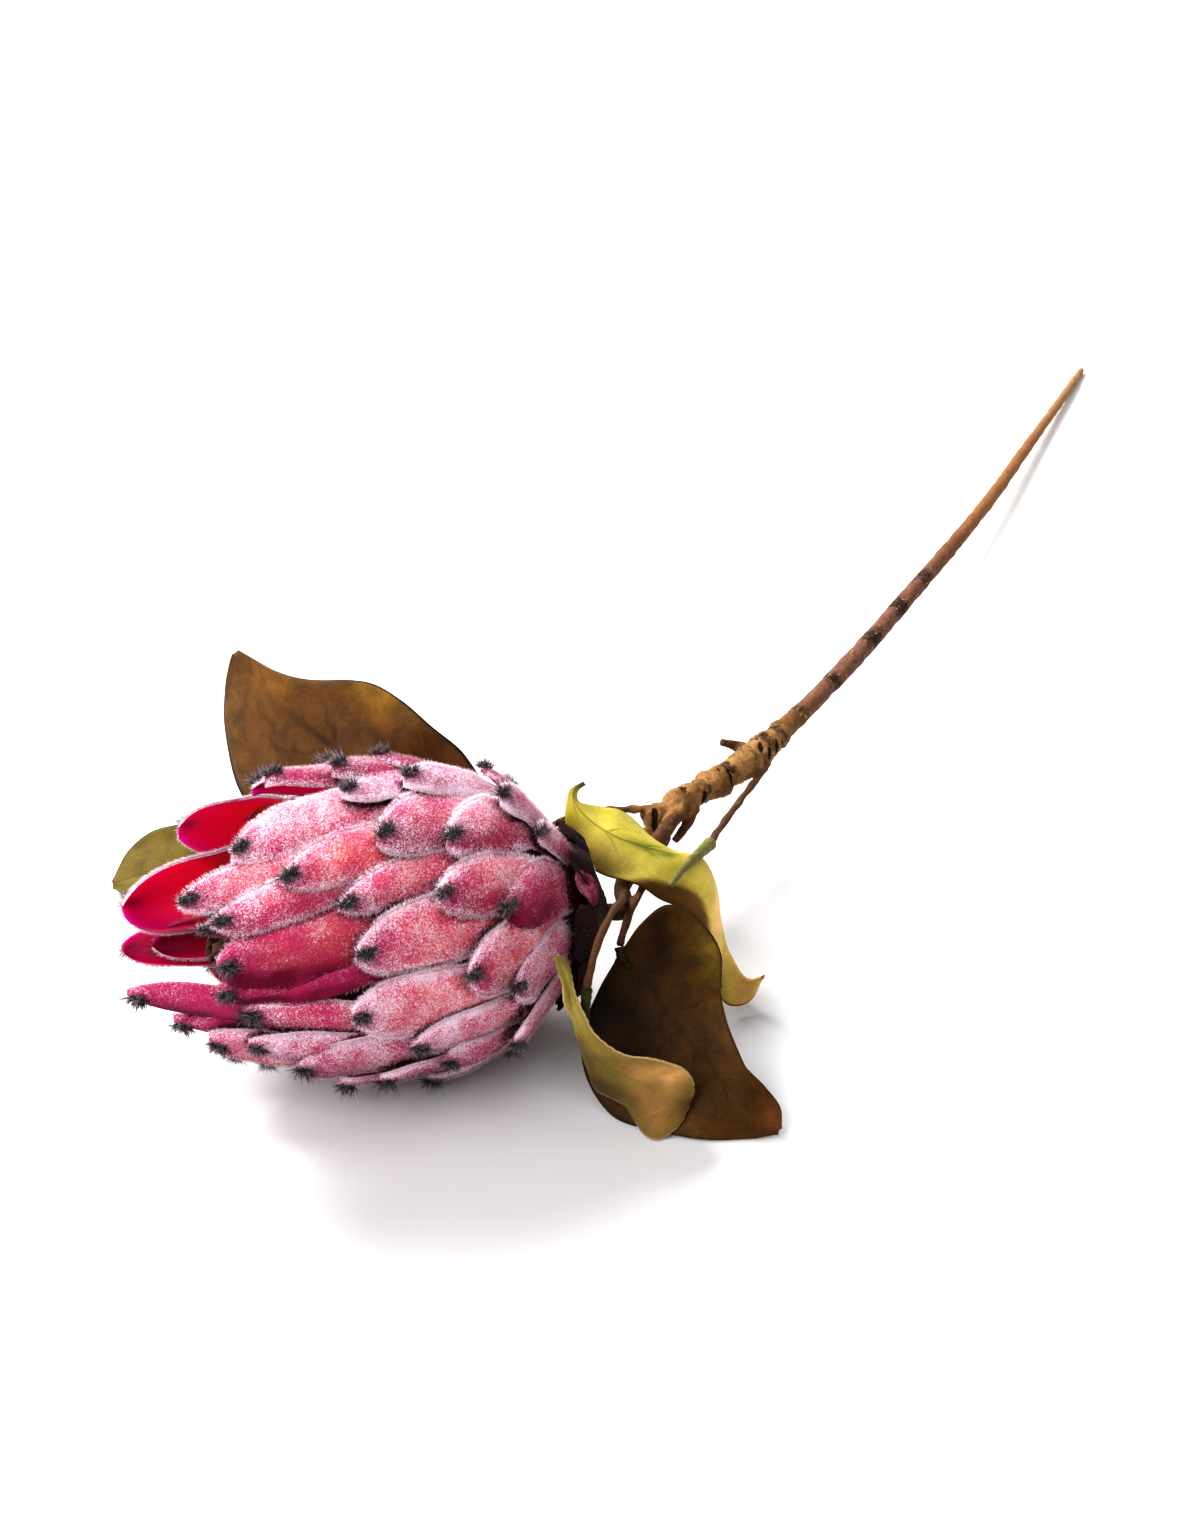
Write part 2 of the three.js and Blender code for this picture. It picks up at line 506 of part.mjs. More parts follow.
// Every bract of the head, those of the back each a little different from its neighbours
function listBracts() {
  const bracts = [...FRONT_BRACTS];
  let index = 0;
  BACK_ROWS.forEach((row) => {
    for (let k = 0; k < row.count; k += 1) {
      index += 1;
      const place = row.first + (360 * k) / row.count + ANGLE_SCATTER * noise(index, 2);
      const angle = (place + 360) % 360;
      if (angle > BACK_FROM && angle < row.until) {
        const free = row.tip === BACK_MOUTH.tip;
        bracts.push({
          ...row,
          flare: free ? BACK_MOUTH.flare : 0,
          blade: free ? BACK_MOUTH.blade : 0,
          cup: 0,
          angle,
          tip: row.tip + TIP_SCATTER * noise(index, 1),
          width: row.width + SIZE_SCATTER * noise(index, 3),
          turn: row.turn + TURN_SCATTER * noise(index, 4),
          lift: row.lift + LIFT_SCATTER * noise(index, 5),
        });
      }
    }
  });
  return bracts;
}

// One bract as a solid: pressed on the head it is a slab down into the core, at the mouth it
// is a thin blade that stands free
function bractSolid(bract) {
  const grid = (depth) => BRACT_STATIONS.map((along) => BRACT_COLUMNS.map((across) => {
    const thin = bract.blade + BLADE_ROOT_DEPTH * (1 - along);
    return bractPoint(bract, along, across, depth * (bract.blade > 0 ? thin : SLAB_DEPTH));
  }));
  return plate(grid(1), grid(0));
}

function buildBloom() {
  const outline = CORE_INSETS.map(([station, inset]) => [station, headRadius(station) - inset]);
  const core = turned([[0, 0], ...outline, [CORE_TOP, CORE_TOP_RADIUS], [CORE_TOP, 0]], CORE_SIDES);
  const solids = [core, ...listBracts().map(bractSolid)].map(toSolid);
  const table = new THREE.BoxGeometry(TABLE_SIZE, TABLE_SIZE, TABLE_DEPTH)
    .translate(HEAD_BASE.x, HEAD_BASE.y, -TABLE_DEPTH / 2);
  const whole = joinSolids(solids).subtract(toSolid(table));
  return toMesh('bloom', whole, ...MATERIALS.bloom);
}

function buildFlorets() {
  const floor = CORE_TOP + SEAT_GAP;
  const rim = FLORET_DISC.map(([height, radius]) => [floor + height, radius]);
  const disc = turned([[floor, 0], ...rim], FLORET_DISC_SIDES);
  const ribbons = [];
  for (let k = 0; k < FLORET_COUNT; k += 1) {
    const angle = (360 * FLORET_RINGS.length * k) / FLORET_COUNT;
    const ring = FLORET_RINGS[k % FLORET_RINGS.length];
    const height = FLORET_HEIGHT * (1 + FLORET_HEIGHT_SCATTER * noise(k + 1, 7));
    const grid = (depth) => FLORET_STATIONS.map((along) => [-1, 1].map((across) => {
      const width = (FLORET_WIDTH / 2) * (along === 1 ? FLORET_TIP_WIDTH : 1) * across;
      const radius = ring + depth + FLORET_SPREAD * along * along;
      const turn = THREE.MathUtils.radToDeg(width / Math.max(ring, FLORET_TURN_RADIUS))
        + FLORET_TWIST * along;
      return headPoint(floor + FLORET_ROOT + height * along, angle + turn, radius);
    }));
    ribbons.push(plate(grid(0), grid(FLORET_THICKNESS)));
  }
  const whole = joinSolids([disc, ...ribbons].map(toSolid));
  return toMesh('inner_florets', whole, ...MATERIALS.inner_florets);
}

function buildBaseBracts() {
  const [back, front] = [CUP[0][0], CUP[CUP.length - 1][0]];
  const cup = turned([[back, 0], ...CUP, [front, 0]], CUP_SIDES);
  const scales = [];
  for (let k = 0; k < SCALE_COUNT; k += 1) {
    const angle = SCALE_FIRST + (360 * k) / SCALE_COUNT + SCALE_TURN_SCATTER * noise(k + 1, 8);
    const tip = SCALE_TIP + SCALE_TIP_SCATTER * noise(k + 1, 9);
    const grid = (depth) => SCALE_STATIONS.map((along) => [-1, 0, 1].map((across) => {
      const station = SCALE_ROOT + (tip - SCALE_ROOT) * along;
      const width = (SCALE_HALF_WIDTH - SCALE_TAPER * along ** 3) * across;
      const radius = interpolate(SCALE_LINE, station);
      const turn = THREE.MathUtils.radToDeg(width / Math.max(radius, SCALE_TURN_RADIUS));
      return headPoint(station, angle + turn, radius + depth);
    }));
    scales.push(plate(grid(0), grid(SCALE_THICKNESS)));
  }
  const whole = joinSolids([cup, ...scales].map(toSolid));
  return toMesh('base_bracts', whole, ...MATERIALS.base_bracts);
}

function buildStem() {
  const knobs = (share, side) => {
    const rough = share < KNOB_END ? 1 : SMOOTH_SHARE;
    const ripple = noise(Math.round(share * STEM_STEPS) * STEM_SIDES + side + 1, 10);
    return interpolate(STEM_RADII, share) + KNOB_SIZE * rough * ripple;
  };
  const run = bar(curveThrough(STEM_RUN, STEM_STEPS + 1), knobs, STEM_SIDES);
  const under = CUP[0][0] - SEAT_GAP;
  const collar = [under, under - NECK_STRAIGHT].map((station) => headPoint(station, 0, 0).toArray());
  const neckPath = curveThrough([...collar, ...NECK_RUN], NECK_POINTS);
  const neck = bar(neckPath, () => NECK_RADIUS, NECK_SIDES);
  const stalks = Object.values(LEAVES).map(({ stalk }) => (
    bar(curveThrough(stalk, STALK_POINTS), () => STALK_RADIUS, STALK_SIDES)));
  const narrow = (share) => STUB_RADIUS + (STUB_TIP_RADIUS - STUB_RADIUS) * share;
  const stubs = STUBS.map((path) => bar(curveThrough(path, STUB_POINTS), narrow, STALK_SIDES));
  const whole = joinSolids([run, neck, ...stalks, ...stubs].map(toSolid));
  return toMesh('stem', whole, ...MATERIALS.stem);
}

function buildLeaf(name, leaf) {
  const rows = BLADE_ROWS + 1;
  const [near, rib, far] = [leaf.near, leaf.rib, leaf.far].map((line) => curveThrough(line, rows));
  const middle = rib.map((centre, i) => {
    const line = [];
    for (let j = 0; j <= BLADE_COLUMNS; j += 1) {
      const t = (2 * j) / BLADE_COLUMNS - 1;
      const point = centre.clone().multiplyScalar(1 - t * t);
      point.addScaledVector(near[i], (t * t - t) / 2);
      line.push(point.addScaledVector(far[i], (t * t + t) / 2));
    }
    return line;
  });
  const normals = middle.map((line, i) => line.map((point, j) => {
    const back = middle[Math.max(i - 1, 0)][j];
    const front = middle[Math.min(i + 1, rows - 1)][j];
    const left = line[Math.max(j - 1, 0)];
    const right = line[Math.min(j + 1, BLADE_COLUMNS)];
    return right.clone().sub(left).cross(front.clone().sub(back)).normalize();
  }));
  const face = (side) => middle.map((line, i) => line.map((point, j) => (
    point.clone().addScaledVector(normals[i][j], (side * BLADE_THICKNESS) / 2))));
  const blade = plate(face(1), face(-1));
  const narrow = (share) => SLEEVE_RADIUS + (SLEEVE_END_RADIUS - SLEEVE_RADIUS) * share;
  const sleeve = bar(curveThrough(leaf.sleeve, SLEEVE_POINTS), narrow, SLEEVE_SIDES);
  const whole = joinSolids([blade, sleeve].map(toSolid));
  return toMesh(name, whole, leaf.colour, MATERIALS.leaf[1]);
}

// Moves the origin to the middle of the whole object
const ORIGIN_SHIFT = [12.4, -1.1, 0];

const protea = new THREE.Group();
protea.position.set(...ORIGIN_SHIFT);
protea.add(buildBloom(), buildFlorets(), buildBaseBracts(), buildStem());
Object.entries(LEAVES).forEach(([name, leaf]) => protea.add(buildLeaf(name, leaf)));

export default protea;
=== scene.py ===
"""A cut protea stem lying on a pale table.

The flower head is a closed egg of plush bracts, each with a tuft of dark hairs at its tip. Dark dry
scales clasp it from below, brown florets stand in its mouth, and a knobbly woody stem carries it
together with five cloth-like leaves. Sizes are in millimetres in the part's own frame and become
metres when a form becomes a piece.
"""
import json
import logging
import math
from collections.abc import Iterable, Sequence
from dataclasses import dataclass
from enum import Enum
from functools import cached_property

import bmesh
import bpy
import numpy as np
from mathutils import Matrix, Vector
from mathutils.bvhtree import BVHTree

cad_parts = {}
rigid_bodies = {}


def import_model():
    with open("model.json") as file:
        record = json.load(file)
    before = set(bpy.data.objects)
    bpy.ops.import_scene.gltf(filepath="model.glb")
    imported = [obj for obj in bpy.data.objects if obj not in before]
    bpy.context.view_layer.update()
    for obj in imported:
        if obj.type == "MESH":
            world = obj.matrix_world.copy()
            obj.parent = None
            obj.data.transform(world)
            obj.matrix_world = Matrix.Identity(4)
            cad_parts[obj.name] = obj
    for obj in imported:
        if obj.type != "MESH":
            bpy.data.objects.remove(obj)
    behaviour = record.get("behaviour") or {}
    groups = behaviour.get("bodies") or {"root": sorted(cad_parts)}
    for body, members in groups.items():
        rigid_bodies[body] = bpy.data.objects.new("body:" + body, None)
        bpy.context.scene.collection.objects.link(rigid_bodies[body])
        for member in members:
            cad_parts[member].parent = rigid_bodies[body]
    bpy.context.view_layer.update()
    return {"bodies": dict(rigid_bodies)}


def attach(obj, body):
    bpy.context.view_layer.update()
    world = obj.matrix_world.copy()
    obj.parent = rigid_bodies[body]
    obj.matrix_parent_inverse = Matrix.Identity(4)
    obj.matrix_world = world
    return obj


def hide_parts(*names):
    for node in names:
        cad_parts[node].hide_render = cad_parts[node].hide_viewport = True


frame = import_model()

log = logging.getLogger("protea")

Array = np.ndarray
Colour = tuple[float, float, float]
Place = tuple[float, float, float]
Line = tuple[Place, ...]

MM = 0.001
BODY = next(iter(frame["bodies"]))
# Moves the origin to the middle of the whole object, as in the solids
ORIGIN_SHIFT = np.array((12.4, -1.1, 0.0))
# Height over the table that bracts and hairs keep, in millimetres
TABLE_GAP = 0.3


# Numbers and colours

def wobble(index: float, channel: float) -> float:
    """Seeded draw between -0.5 and 0.5, the same one that places the solids."""
    value = math.sin(index * 12.9898 + channel * 78.233) * 43758.5453
    return value - math.floor(value) - 0.5


def linear(red: int, green: int, blue: int) -> Colour:
    """Colour seen on a screen, 0 to 255, as the light that a material needs."""
    return tuple(((c / 255 + 0.055) / 1.055) ** 2.4 if c > 10 else c / 3295 for c in (red, green, blue))


def ramp(values: Array, low: float, high: float) -> Array:
    """Smooth rise from 0 at low to 1 at high."""
    share = np.clip((values - low) / (high - low), 0.0, 1.0)
    return share * share * (3.0 - 2.0 * share)


def mix(base: Array, other: Colour, share: Array) -> Array:
    """Rows of colour moved towards another colour by a share for each row."""
    return base + (np.array(other) - base) * np.clip(share, 0.0, 1.0)[:, None]


def even(colour: Colour, count: int) -> Array:
    """The same colour in a number of rows."""
    return np.tile(np.array(colour), (count, 1))


def paint(base: Array, *coats: tuple[Colour, Array]) -> Array:
    """Rows of colour under coats of paint, each a colour and its share for each row.

    Args:
        base: Rows of colour.
        *coats: Colours, each with its share for each row.

    Returns:
        The painted rows.
    """
    for colour, share in coats:
        base = mix(base, colour, share)
    return base


def drift(points: Array, size: float, seed: int) -> Array:
    """Soft cloudy values from about -1 to 1 over points, in blots of a given size.

    Args:
        points: Rows of coordinates.
        size: Width of a blot in the points' own unit.
        seed: Which of the many patterns to take.

    Returns:
        One value for each point.
    """
    draw = np.random.default_rng(seed)
    total = np.zeros(len(points))
    for _ in range(7):
        way = draw.normal(size=points.shape[1])
        way *= draw.uniform(0.6, 1.7) * math.pi / (size * np.linalg.norm(way))
        total += np.sin(points @ way + draw.uniform(0, 2 * math.pi))
    return total / 2.6


def unit(rows: Array) -> Array:
    """Rows of vectors brought to length one."""
    return rows / np.maximum(np.linalg.norm(rows, axis=-1, keepdims=True), 1e-9)


def curve_through(points: Sequence[Sequence[float]], count: int) -> Array:
    """Smooth curve through points.

    Args:
        points: The points it passes through, in order.
        count: How many points to return.

    Returns:
        Points equally far apart along the curve.
    """
    knots = np.array(points, float)
    spans = np.linalg.norm(np.diff(knots, axis=0), axis=1)
    places = np.concatenate(([0.0], np.cumsum(spans)))
    last = len(knots) - 1
    slopes = np.array([
        (knots[min(i + 1, last)] - knots[max(i - 1, 0)])
        / (places[min(i + 1, last)] - places[max(i - 1, 0)]) for i in range(last + 1)
    ])
    t = np.linspace(0.0, 1.0, 17)[1:, None]
    dense = [knots[:1]]
    for i, span in enumerate(spans):
        dense.append(
            knots[i] * (2 * t**3 - 3 * t**2 + 1) + slopes[i] * (t**3 - 2 * t**2 + t) * span
            + knots[i + 1] * (3 * t**2 - 2 * t**3) + slopes[i + 1] * (t**3 - t**2) * span)
    line = np.concatenate(dense)
    run = np.concatenate(([0.0], np.cumsum(np.linalg.norm(np.diff(line, axis=0), axis=1))))
    goals = np.linspace(0.0, run[-1], count)
    return np.stack([np.interp(goals, run, line[:, k]) for k in range(3)], axis=1)


# Forms: meshes in the making, in millimetres

def coordinates(form: bmesh.types.BMesh) -> Array:
    """Places of a form's vertices, one row each."""
    return np.array([vert.co for vert in form.verts])


def shares(form: bmesh.types.BMesh) -> tuple[Array, Array, Array]:
    """Where a plate's vertices are: -1 to 1 across it, 0 to 1 along it and 0 to 1 through it."""
    flat = coordinates(form)
    return flat[:, 0], (flat[:, 1] + 1) / 2, -flat[:, 2]


def shape(form: bmesh.types.BMesh, places: Array) -> None:
    """Moves every vertex of a closed form to its row of places and keeps its faces looking out.

    Args:
        form: The form, one solid.
        places: Where its vertices go.
    """
    for vert, place in zip(form.verts, places):
        vert.co = place
    if form.calc_volume(signed=True) < 0:
        bmesh.ops.reverse_faces(form, faces=form.faces[:])
    form.normal_update()


def plate_form(columns: int, rows: int) -> bmesh.types.BMesh:
    """Closed plate from -1 to 1 across (x) and along (y), its upper face at z 0, its lower at -1.

    Args:
        columns: Cells across.
        rows: Cells along.

    Returns:
        The plate, whose vertices a rule then moves into place.
    """
    form = bmesh.new()
    bmesh.ops.create_grid(form, x_segments=columns, y_segments=rows, size=1.0)
    lower = bmesh.ops.extrude_face_region(form, geom=form.faces[:])["geom"]
    verts = [item for item in lower if isinstance(item, bmesh.types.BMVert)]
    bmesh.ops.translate(form, verts=verts, vec=(0.0, 0.0, -1.0))
    bmesh.ops.recalc_face_normals(form, faces=form.faces[:])
    return form


def rod_form(path: Array, radii: Array, sides: int) -> bmesh.types.BMesh:
    """Closed round rod along a path.

    Args:
        path: Points of its middle.
        radii: Radius at each point.
        sides: Faces round it.

    Returns:
        The rod.
    """
    form = bmesh.new()
    before = Matrix.Identity(4)
    side = Vector((0.0, 0.0, 1.0))
    face = None
    for i, point in enumerate(path):
        ahead = Vector(path[min(i + 1, len(path) - 1)] - path[max(i - 1, 0)]).normalized()
        side = (side - ahead * side.dot(ahead)).normalized()
        across = ahead.cross(side)
        turn = Matrix((side, across, ahead)).transposed().to_4x4()
        place = Matrix.Translation(point) @ turn @ Matrix.Scale(float(radii[i]), 4)
        if face is None:
            verts = bmesh.ops.create_circle(form, cap_ends=True, segments=sides, radius=1.0)["verts"]
            face = form.faces[:][0]
        else:
            fresh = bmesh.ops.extrude_face_region(form, geom=[face])["geom"]
            verts = [item for item in fresh if isinstance(item, bmesh.types.BMVert)]
            face = next(item for item in fresh if isinstance(item, bmesh.types.BMFace))
        bmesh.ops.transform(form, matrix=place @ before.inverted(), verts=verts)
        before = place
    bmesh.ops.recalc_face_normals(form, faces=form.faces[:])
    return form


def spike_form(bends: int) -> bmesh.types.BMesh:
    """One hair of radius 1 from z 0 to z 1, with a number of rings at which it can bend.

    Args:
        bends: Rings along it at which it can bend.

    Returns:
        The spike.
    """
    spike = bmesh.new()
    bmesh.ops.create_cone(spike, cap_ends=True, cap_tris=False, segments=3, radius1=1.0,
                          radius2=0.0, depth=1.0)
    if bends:
        slanted = [edge for edge in spike.edges if abs(edge.verts[0].co.z - edge.verts[1].co.z) > 0.5]
        bmesh.ops.subdivide_edges(spike, edges=slanted, cuts=bends)
    bmesh.ops.translate(spike, verts=spike.verts[:], vec=(0, 0, 0.5))
    return spike


class Assembly:
    """Forms gathered into one piece, with the values that its finish reads at each vertex."""

    def __init__(self) -> None:
        """Starts with nothing in it."""
        self.form = bmesh.new()
        self.values: dict[str, list[Array]] = {}

    def add(self, form: bmesh.types.BMesh, places: Array | None = None, **values: Array) -> None:
        """Takes a form in and frees it.

        Args:
            form: The form to take in.
            places: Where its vertices go, if not where they are.
            **values: Rows of values by name: colours have three columns, amounts have none.
        """
        if places is not None:
            shape(form, places)
        count = len(form.verts)
        mesh = bpy.data.meshes.new("loose")
        form.to_mesh(mesh)
        form.free()
        self.form.from_mesh(mesh)
        bpy.data.meshes.remove(mesh)
        for name, rows in values.items():
            assert len(rows) == count
            self.values.setdefault(name, []).append(rows)

    def piece(self, name: str, finishes: Iterable[bpy.types.Material]) -> bpy.types.Object:
        """Makes the piece in the part's frame, in metres.

        Args:
            name: The piece's name.
            finishes: Its materials, in the order of the faces' numbers.

        Returns:
            The piece's object.
        """
        mesh = bpy.data.meshes.new(name)
        self.form.to_mesh(mesh)
        self.form.free()
        place_mesh(mesh)
        keep_values(mesh, {key: np.concatenate(rows) for key, rows in self.values.items()})
        return make_piece(name, mesh, finishes)


def read_rows(mesh: bpy.types.Mesh, kind: str) -> Array:
    """Places (co) or normals (normal) of a mesh's vertices, one row each.

    Args:
        mesh: The mesh.
        kind: co for places, normal for normals.

    Returns:
        One row for each vertex.
    """
    flat = np.empty(len(mesh.vertices) * 3, np.float32)
    mesh.vertices.foreach_get(kind, flat)
    return flat.reshape(-1, 3).astype(float)


def place_mesh(mesh: bpy.types.Mesh) -> None:
    """Takes a mesh from millimetres to the part's frame in metres.

    Args:
        mesh: The mesh, which is changed.
    """
    rows = (read_rows(mesh, "co") + ORIGIN_SHIFT) * MM
    mesh.vertices.foreach_set("co", rows.astype(np.float32).ravel())
    mesh.update()


def keep_values(mesh: bpy.types.Mesh, values: dict[str, Array]) -> None:
    """Stores values at the vertices: three columns as a colour, two as a UV map, none as an amount.

    Args:
        mesh: The mesh that keeps them.
        values: Rows of values by name.
    """
    for name, rows in values.items():
        if rows.ndim == 2 and rows.shape[1] == 3:
            layer = mesh.color_attributes.new(name, "FLOAT_COLOR", "POINT")
            full = np.concatenate((rows, np.ones((len(rows), 1))), axis=1)
            layer.data.foreach_set("color", full.astype(np.float32).ravel())
        elif rows.ndim == 2:
            corners = np.empty(len(mesh.loops), np.int32)
            mesh.loops.foreach_get("vertex_index", corners)
            layer = mesh.uv_layers.new(name=name)
            layer.uv.foreach_set("vector", rows[corners].astype(np.float32).ravel())
        else:
            layer = mesh.attributes.new(name, "FLOAT", "POINT")
            layer.data.foreach_set("value", rows.astype(np.float32))


def make_piece(name: str, mesh: bpy.types.Mesh,
               finishes: Iterable[bpy.types.Material]) -> bpy.types.Object:
    """Puts a mesh in the scene as a smooth piece that rides on the part's one body.

    Args:
        name: The piece's name.
        mesh: Its mesh, in place.
        finishes: Its materials.

    Returns:
        The piece's object.
    """
    for finish in finishes:
        mesh.materials.append(finish)
    mesh.shade_smooth()
    piece = bpy.data.objects.new(name, mesh)
    bpy.context.scene.collection.objects.link(piece)
    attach(piece, BODY)
    return piece


def stamp_hairs(name: str, spike: bmesh.types.BMesh, roots: Array, ways: Array, lengths: Array,
                thickness: float, bend: Array, values: dict[str, Array],
                finish: bpy.types.Material) -> bpy.types.Object:
    """Copies one spike to every root of a coat of hairs.

    Args:
        name: The piece's name.
        spike: A spike of radius 1 from z 0 to z 1.
        roots: Where each hair starts.
        ways: The way each hair points, of length one.
        lengths: Length of each hair.
        thickness: Radius of a hair at its root.
        bend: How far each hair's end is pushed aside.
        values: Values of each hair by name, given to all its vertices.
        finish: The hairs' material.

    Returns:
        The piece's object.
    """
    spike.verts.index_update()
    form = coordinates(spike)
    faces = [[vert.index for vert in face.verts] for face in spike.faces]
    sides = np.array([len(face) for face in faces])
    corners = np.concatenate(faces)
    spike.free()
    sunk = np.maximum(0.0, TABLE_GAP - roots[:, 2] - lengths * ways[:, 2] - bend[:, 2])
    bend = bend + sunk[:, None] * np.array((0.0, 0.0, 1.0))
    helper = np.where(np.abs(ways[:, 2:3]) > 0.9, (1.0, 0.0, 0.0), (0.0, 0.0, 1.0))
    side = unit(np.cross(ways, helper))
    other = np.cross(ways, side)
    points = (
        roots[:, None] + side[:, None] * form[None, :, 0:1] * thickness
        + other[:, None] * form[None, :, 1:2] * thickness
        + ways[:, None] * form[None, :, 2:3] * lengths[:, None, None]
        + bend[:, None] * form[None, :, 2:3] ** 2)
    count = len(roots)
    mesh = bpy.data.meshes.new(name)
    mesh.vertices.add(count * len(form))
    mesh.vertices.foreach_set("co", points.astype(np.float32).ravel())
    mesh.loops.add(count * len(corners))
    offsets = np.arange(count)[:, None] * len(form)
    mesh.loops.foreach_set("vertex_index", (corners[None] + offsets).astype(np.int32).ravel())
    mesh.polygons.add(count * len(sides))
    starts = np.concatenate(([0], np.cumsum(sides)[:-1]))
    starts = starts[None] + np.arange(count)[:, None] * len(corners)
    mesh.polygons.foreach_set("loop_start", starts.astype(np.int32).ravel())
    mesh.update(calc_edges=True)
    place_mesh(mesh)
    keep_values(mesh, {key: np.repeat(rows, len(form), axis=0) for key, rows in values.items()})
    return make_piece(name, mesh, [finish])


# Finishes

class Recipe:
    """Node tree of one material, written step by step."""

    def __init__(self, name: str) -> None:
        """Starts a material with a plain principled surface.

        Args:
            name: The material's name.
        """
        self.material = bpy.data.materials.new(name)
        self.material.use_nodes = True
        self.tree = self.material.node_tree
        self.surface = self.tree.nodes["Principled BSDF"]

    def step(self, kind: str, inputs: dict[str | int, object] | None = None,
             **settings: object) -> bpy.types.Node:
        """Adds a node.

        Args:
            kind: Its type, without the leading ShaderNode.
            inputs: Constants or other nodes' outputs by input name or number.
            **settings: The node's own properties.

        Returns:
            The node.
        """
        node = self.tree.nodes.new("ShaderNode" + kind)
        for key, value in settings.items():
            setattr(node, key, value)
        for key, value in (inputs or {}).items():
            self.feed(node, key, value)
        return node

    def feed(self, node: bpy.types.Node, key: str | int, value: object) -> None:
        """Gives an input of a node a constant or another node's output.

        Args:
            node: The node.
            key: The input's name or number.
            value: The constant or the other node's output.
        """
        if isinstance(value, bpy.types.NodeSocket):
            self.tree.links.new(value, node.inputs[key])
        else:
            node.inputs[key].default_value = value

    def set(self, **inputs: object) -> None:
        """Gives inputs of the surface their values; an underscore stands for a space."""
        for key, value in inputs.items():
            self.feed(self.surface, key.replace("_", " "), value)

    def attribute(self, name: str, output: str = "Fac") -> bpy.types.NodeSocket:
        """Value that the mesh keeps under a name."""
        return self.step("Attribute", attribute_name=name).outputs[output]

    def place(self) -> bpy.types.NodeSocket:
        """Object coordinates in metres."""
        return self.step("TexCoord").outputs["Object"]

    def noise(self, vector: bpy.types.NodeSocket, grain: float, detail: float = 4.0,
              roughness: float = 0.6, distortion: float = 0.0) -> bpy.types.NodeSocket:
        """Cloudy noise.

        Args:
            vector: Coordinates it is read at.
            grain: Size of its blots, in the coordinates' unit.
            detail: Number of finer layers.
            roughness: Strength of the finer layers.
            distortion: How much it swirls.

        Returns:
            Its value, about 0.5 in the middle.
        """
        inputs = {"Vector": vector, "Scale": 1.0 / grain, "Detail": detail, "Roughness": roughness,
                  "Distortion": distortion}
        return self.step("TexNoise", inputs).outputs["Fac"]

    def between(self, value: bpy.types.NodeSocket, low: float, high: float,
                start: float = 0.0, end: float = 1.0) -> bpy.types.NodeSocket:
        """Value spread from low..high to start..end, smooth at both ends."""
        inputs = {"Value": value, "From Min": low, "From Max": high, "To Min": start, "To Max": end}
        return self.step("MapRange", inputs, interpolation_type="SMOOTHSTEP").outputs["Result"]

    def calc(self, operation: str, first: object, second: object = 0.0) -> bpy.types.NodeSocket:
        """Result of one operation on two numbers."""
        node = self.step("Math", {0: first, 1: second}, operation=operation)
        return node.outputs["Value"]

    def blend(self, first: object, second: object, share: object,
              way: str = "MIX") -> bpy.types.NodeSocket:
        """Two colours mixed by a share.

        Args:
            first: Colour at share 0.
            second: Colour at share 1.
            share: The share.
            way: How they are mixed, as Blender names it.

        Returns:
            The mixed colour.
        """
        node = self.step("Mix", data_type="RGBA", blend_type=way)
        for slot, value in (("Factor_Float", share), ("A_Color", first), ("B_Color", second)):
            socket = next(item for item in node.inputs if item.identifier == slot)
            if isinstance(value, bpy.types.NodeSocket):
                self.tree.links.new(value, socket)
            elif slot == "Factor_Float":
                socket.default_value = value
            else:
                socket.default_value = (*value, 1.0)
        return next(item for item in node.outputs if item.identifier == "Result_Color")

    def bump(self, height: bpy.types.NodeSocket, distance: float, strength: float = 1.0) -> None:
        """Raises the surface by a height, in metres."""
        node = self.step("Bump", {"Height": height, "Distance": distance, "Strength": strength})
        self.tree.links.new(node.outputs["Normal"], self.surface.inputs["Normal"])


@dataclass(frozen=True)
class PlushFinish:
    """Outer face of a bract: tinted felt under a frost of short pale hairs."""

    name: str = "bract_plush"
    frost: Colour = linear(255, 230, 246)
    hair_grain: float = 0.00042
    clump_grain: float = 0.0013
    patch_grain: float = 0.006

    def make(self) -> bpy.types.Material:
        """Makes the material.

        Returns:
            The material.
        """
        recipe = Recipe(self.name)
        place = recipe.place()
        tint = recipe.attribute("tint", "Color")
        cover = recipe.attribute("frost")
        fine = recipe.between(recipe.noise(place, self.hair_grain, 2.0, 0.7, 0.4), 0.36, 0.64)
        clump = recipe.between(recipe.noise(place, self.clump_grain, 2.0, 0.6, 0.8), 0.34, 0.66)
        cloud = recipe.between(recipe.noise(place, self.patch_grain, 3.0), 0.3, 0.7, -0.1, 0.1)
        grain = recipe.calc("ADD", recipe.calc("MULTIPLY", fine, 0.5), recipe.calc("MULTIPLY", clump, 0.2))
        level = recipe.calc("ADD", recipe.calc("ADD", cover, cloud), -0.34)
        hairs = recipe.between(recipe.calc("ADD", grain, level), 0.2, 0.85)
        colour = recipe.blend(tint, self.frost, hairs)
        recipe.set(Base_Color=colour, Roughness=0.92, Specular_IOR_Level=0.1, Sheen_Weight=0.12,
                   Sheen_Roughness=0.45, Sheen_Tint=(*linear(255, 225, 232), 1.0))
        recipe.bump(grain, 0.0005, 0.8)
        return recipe.material


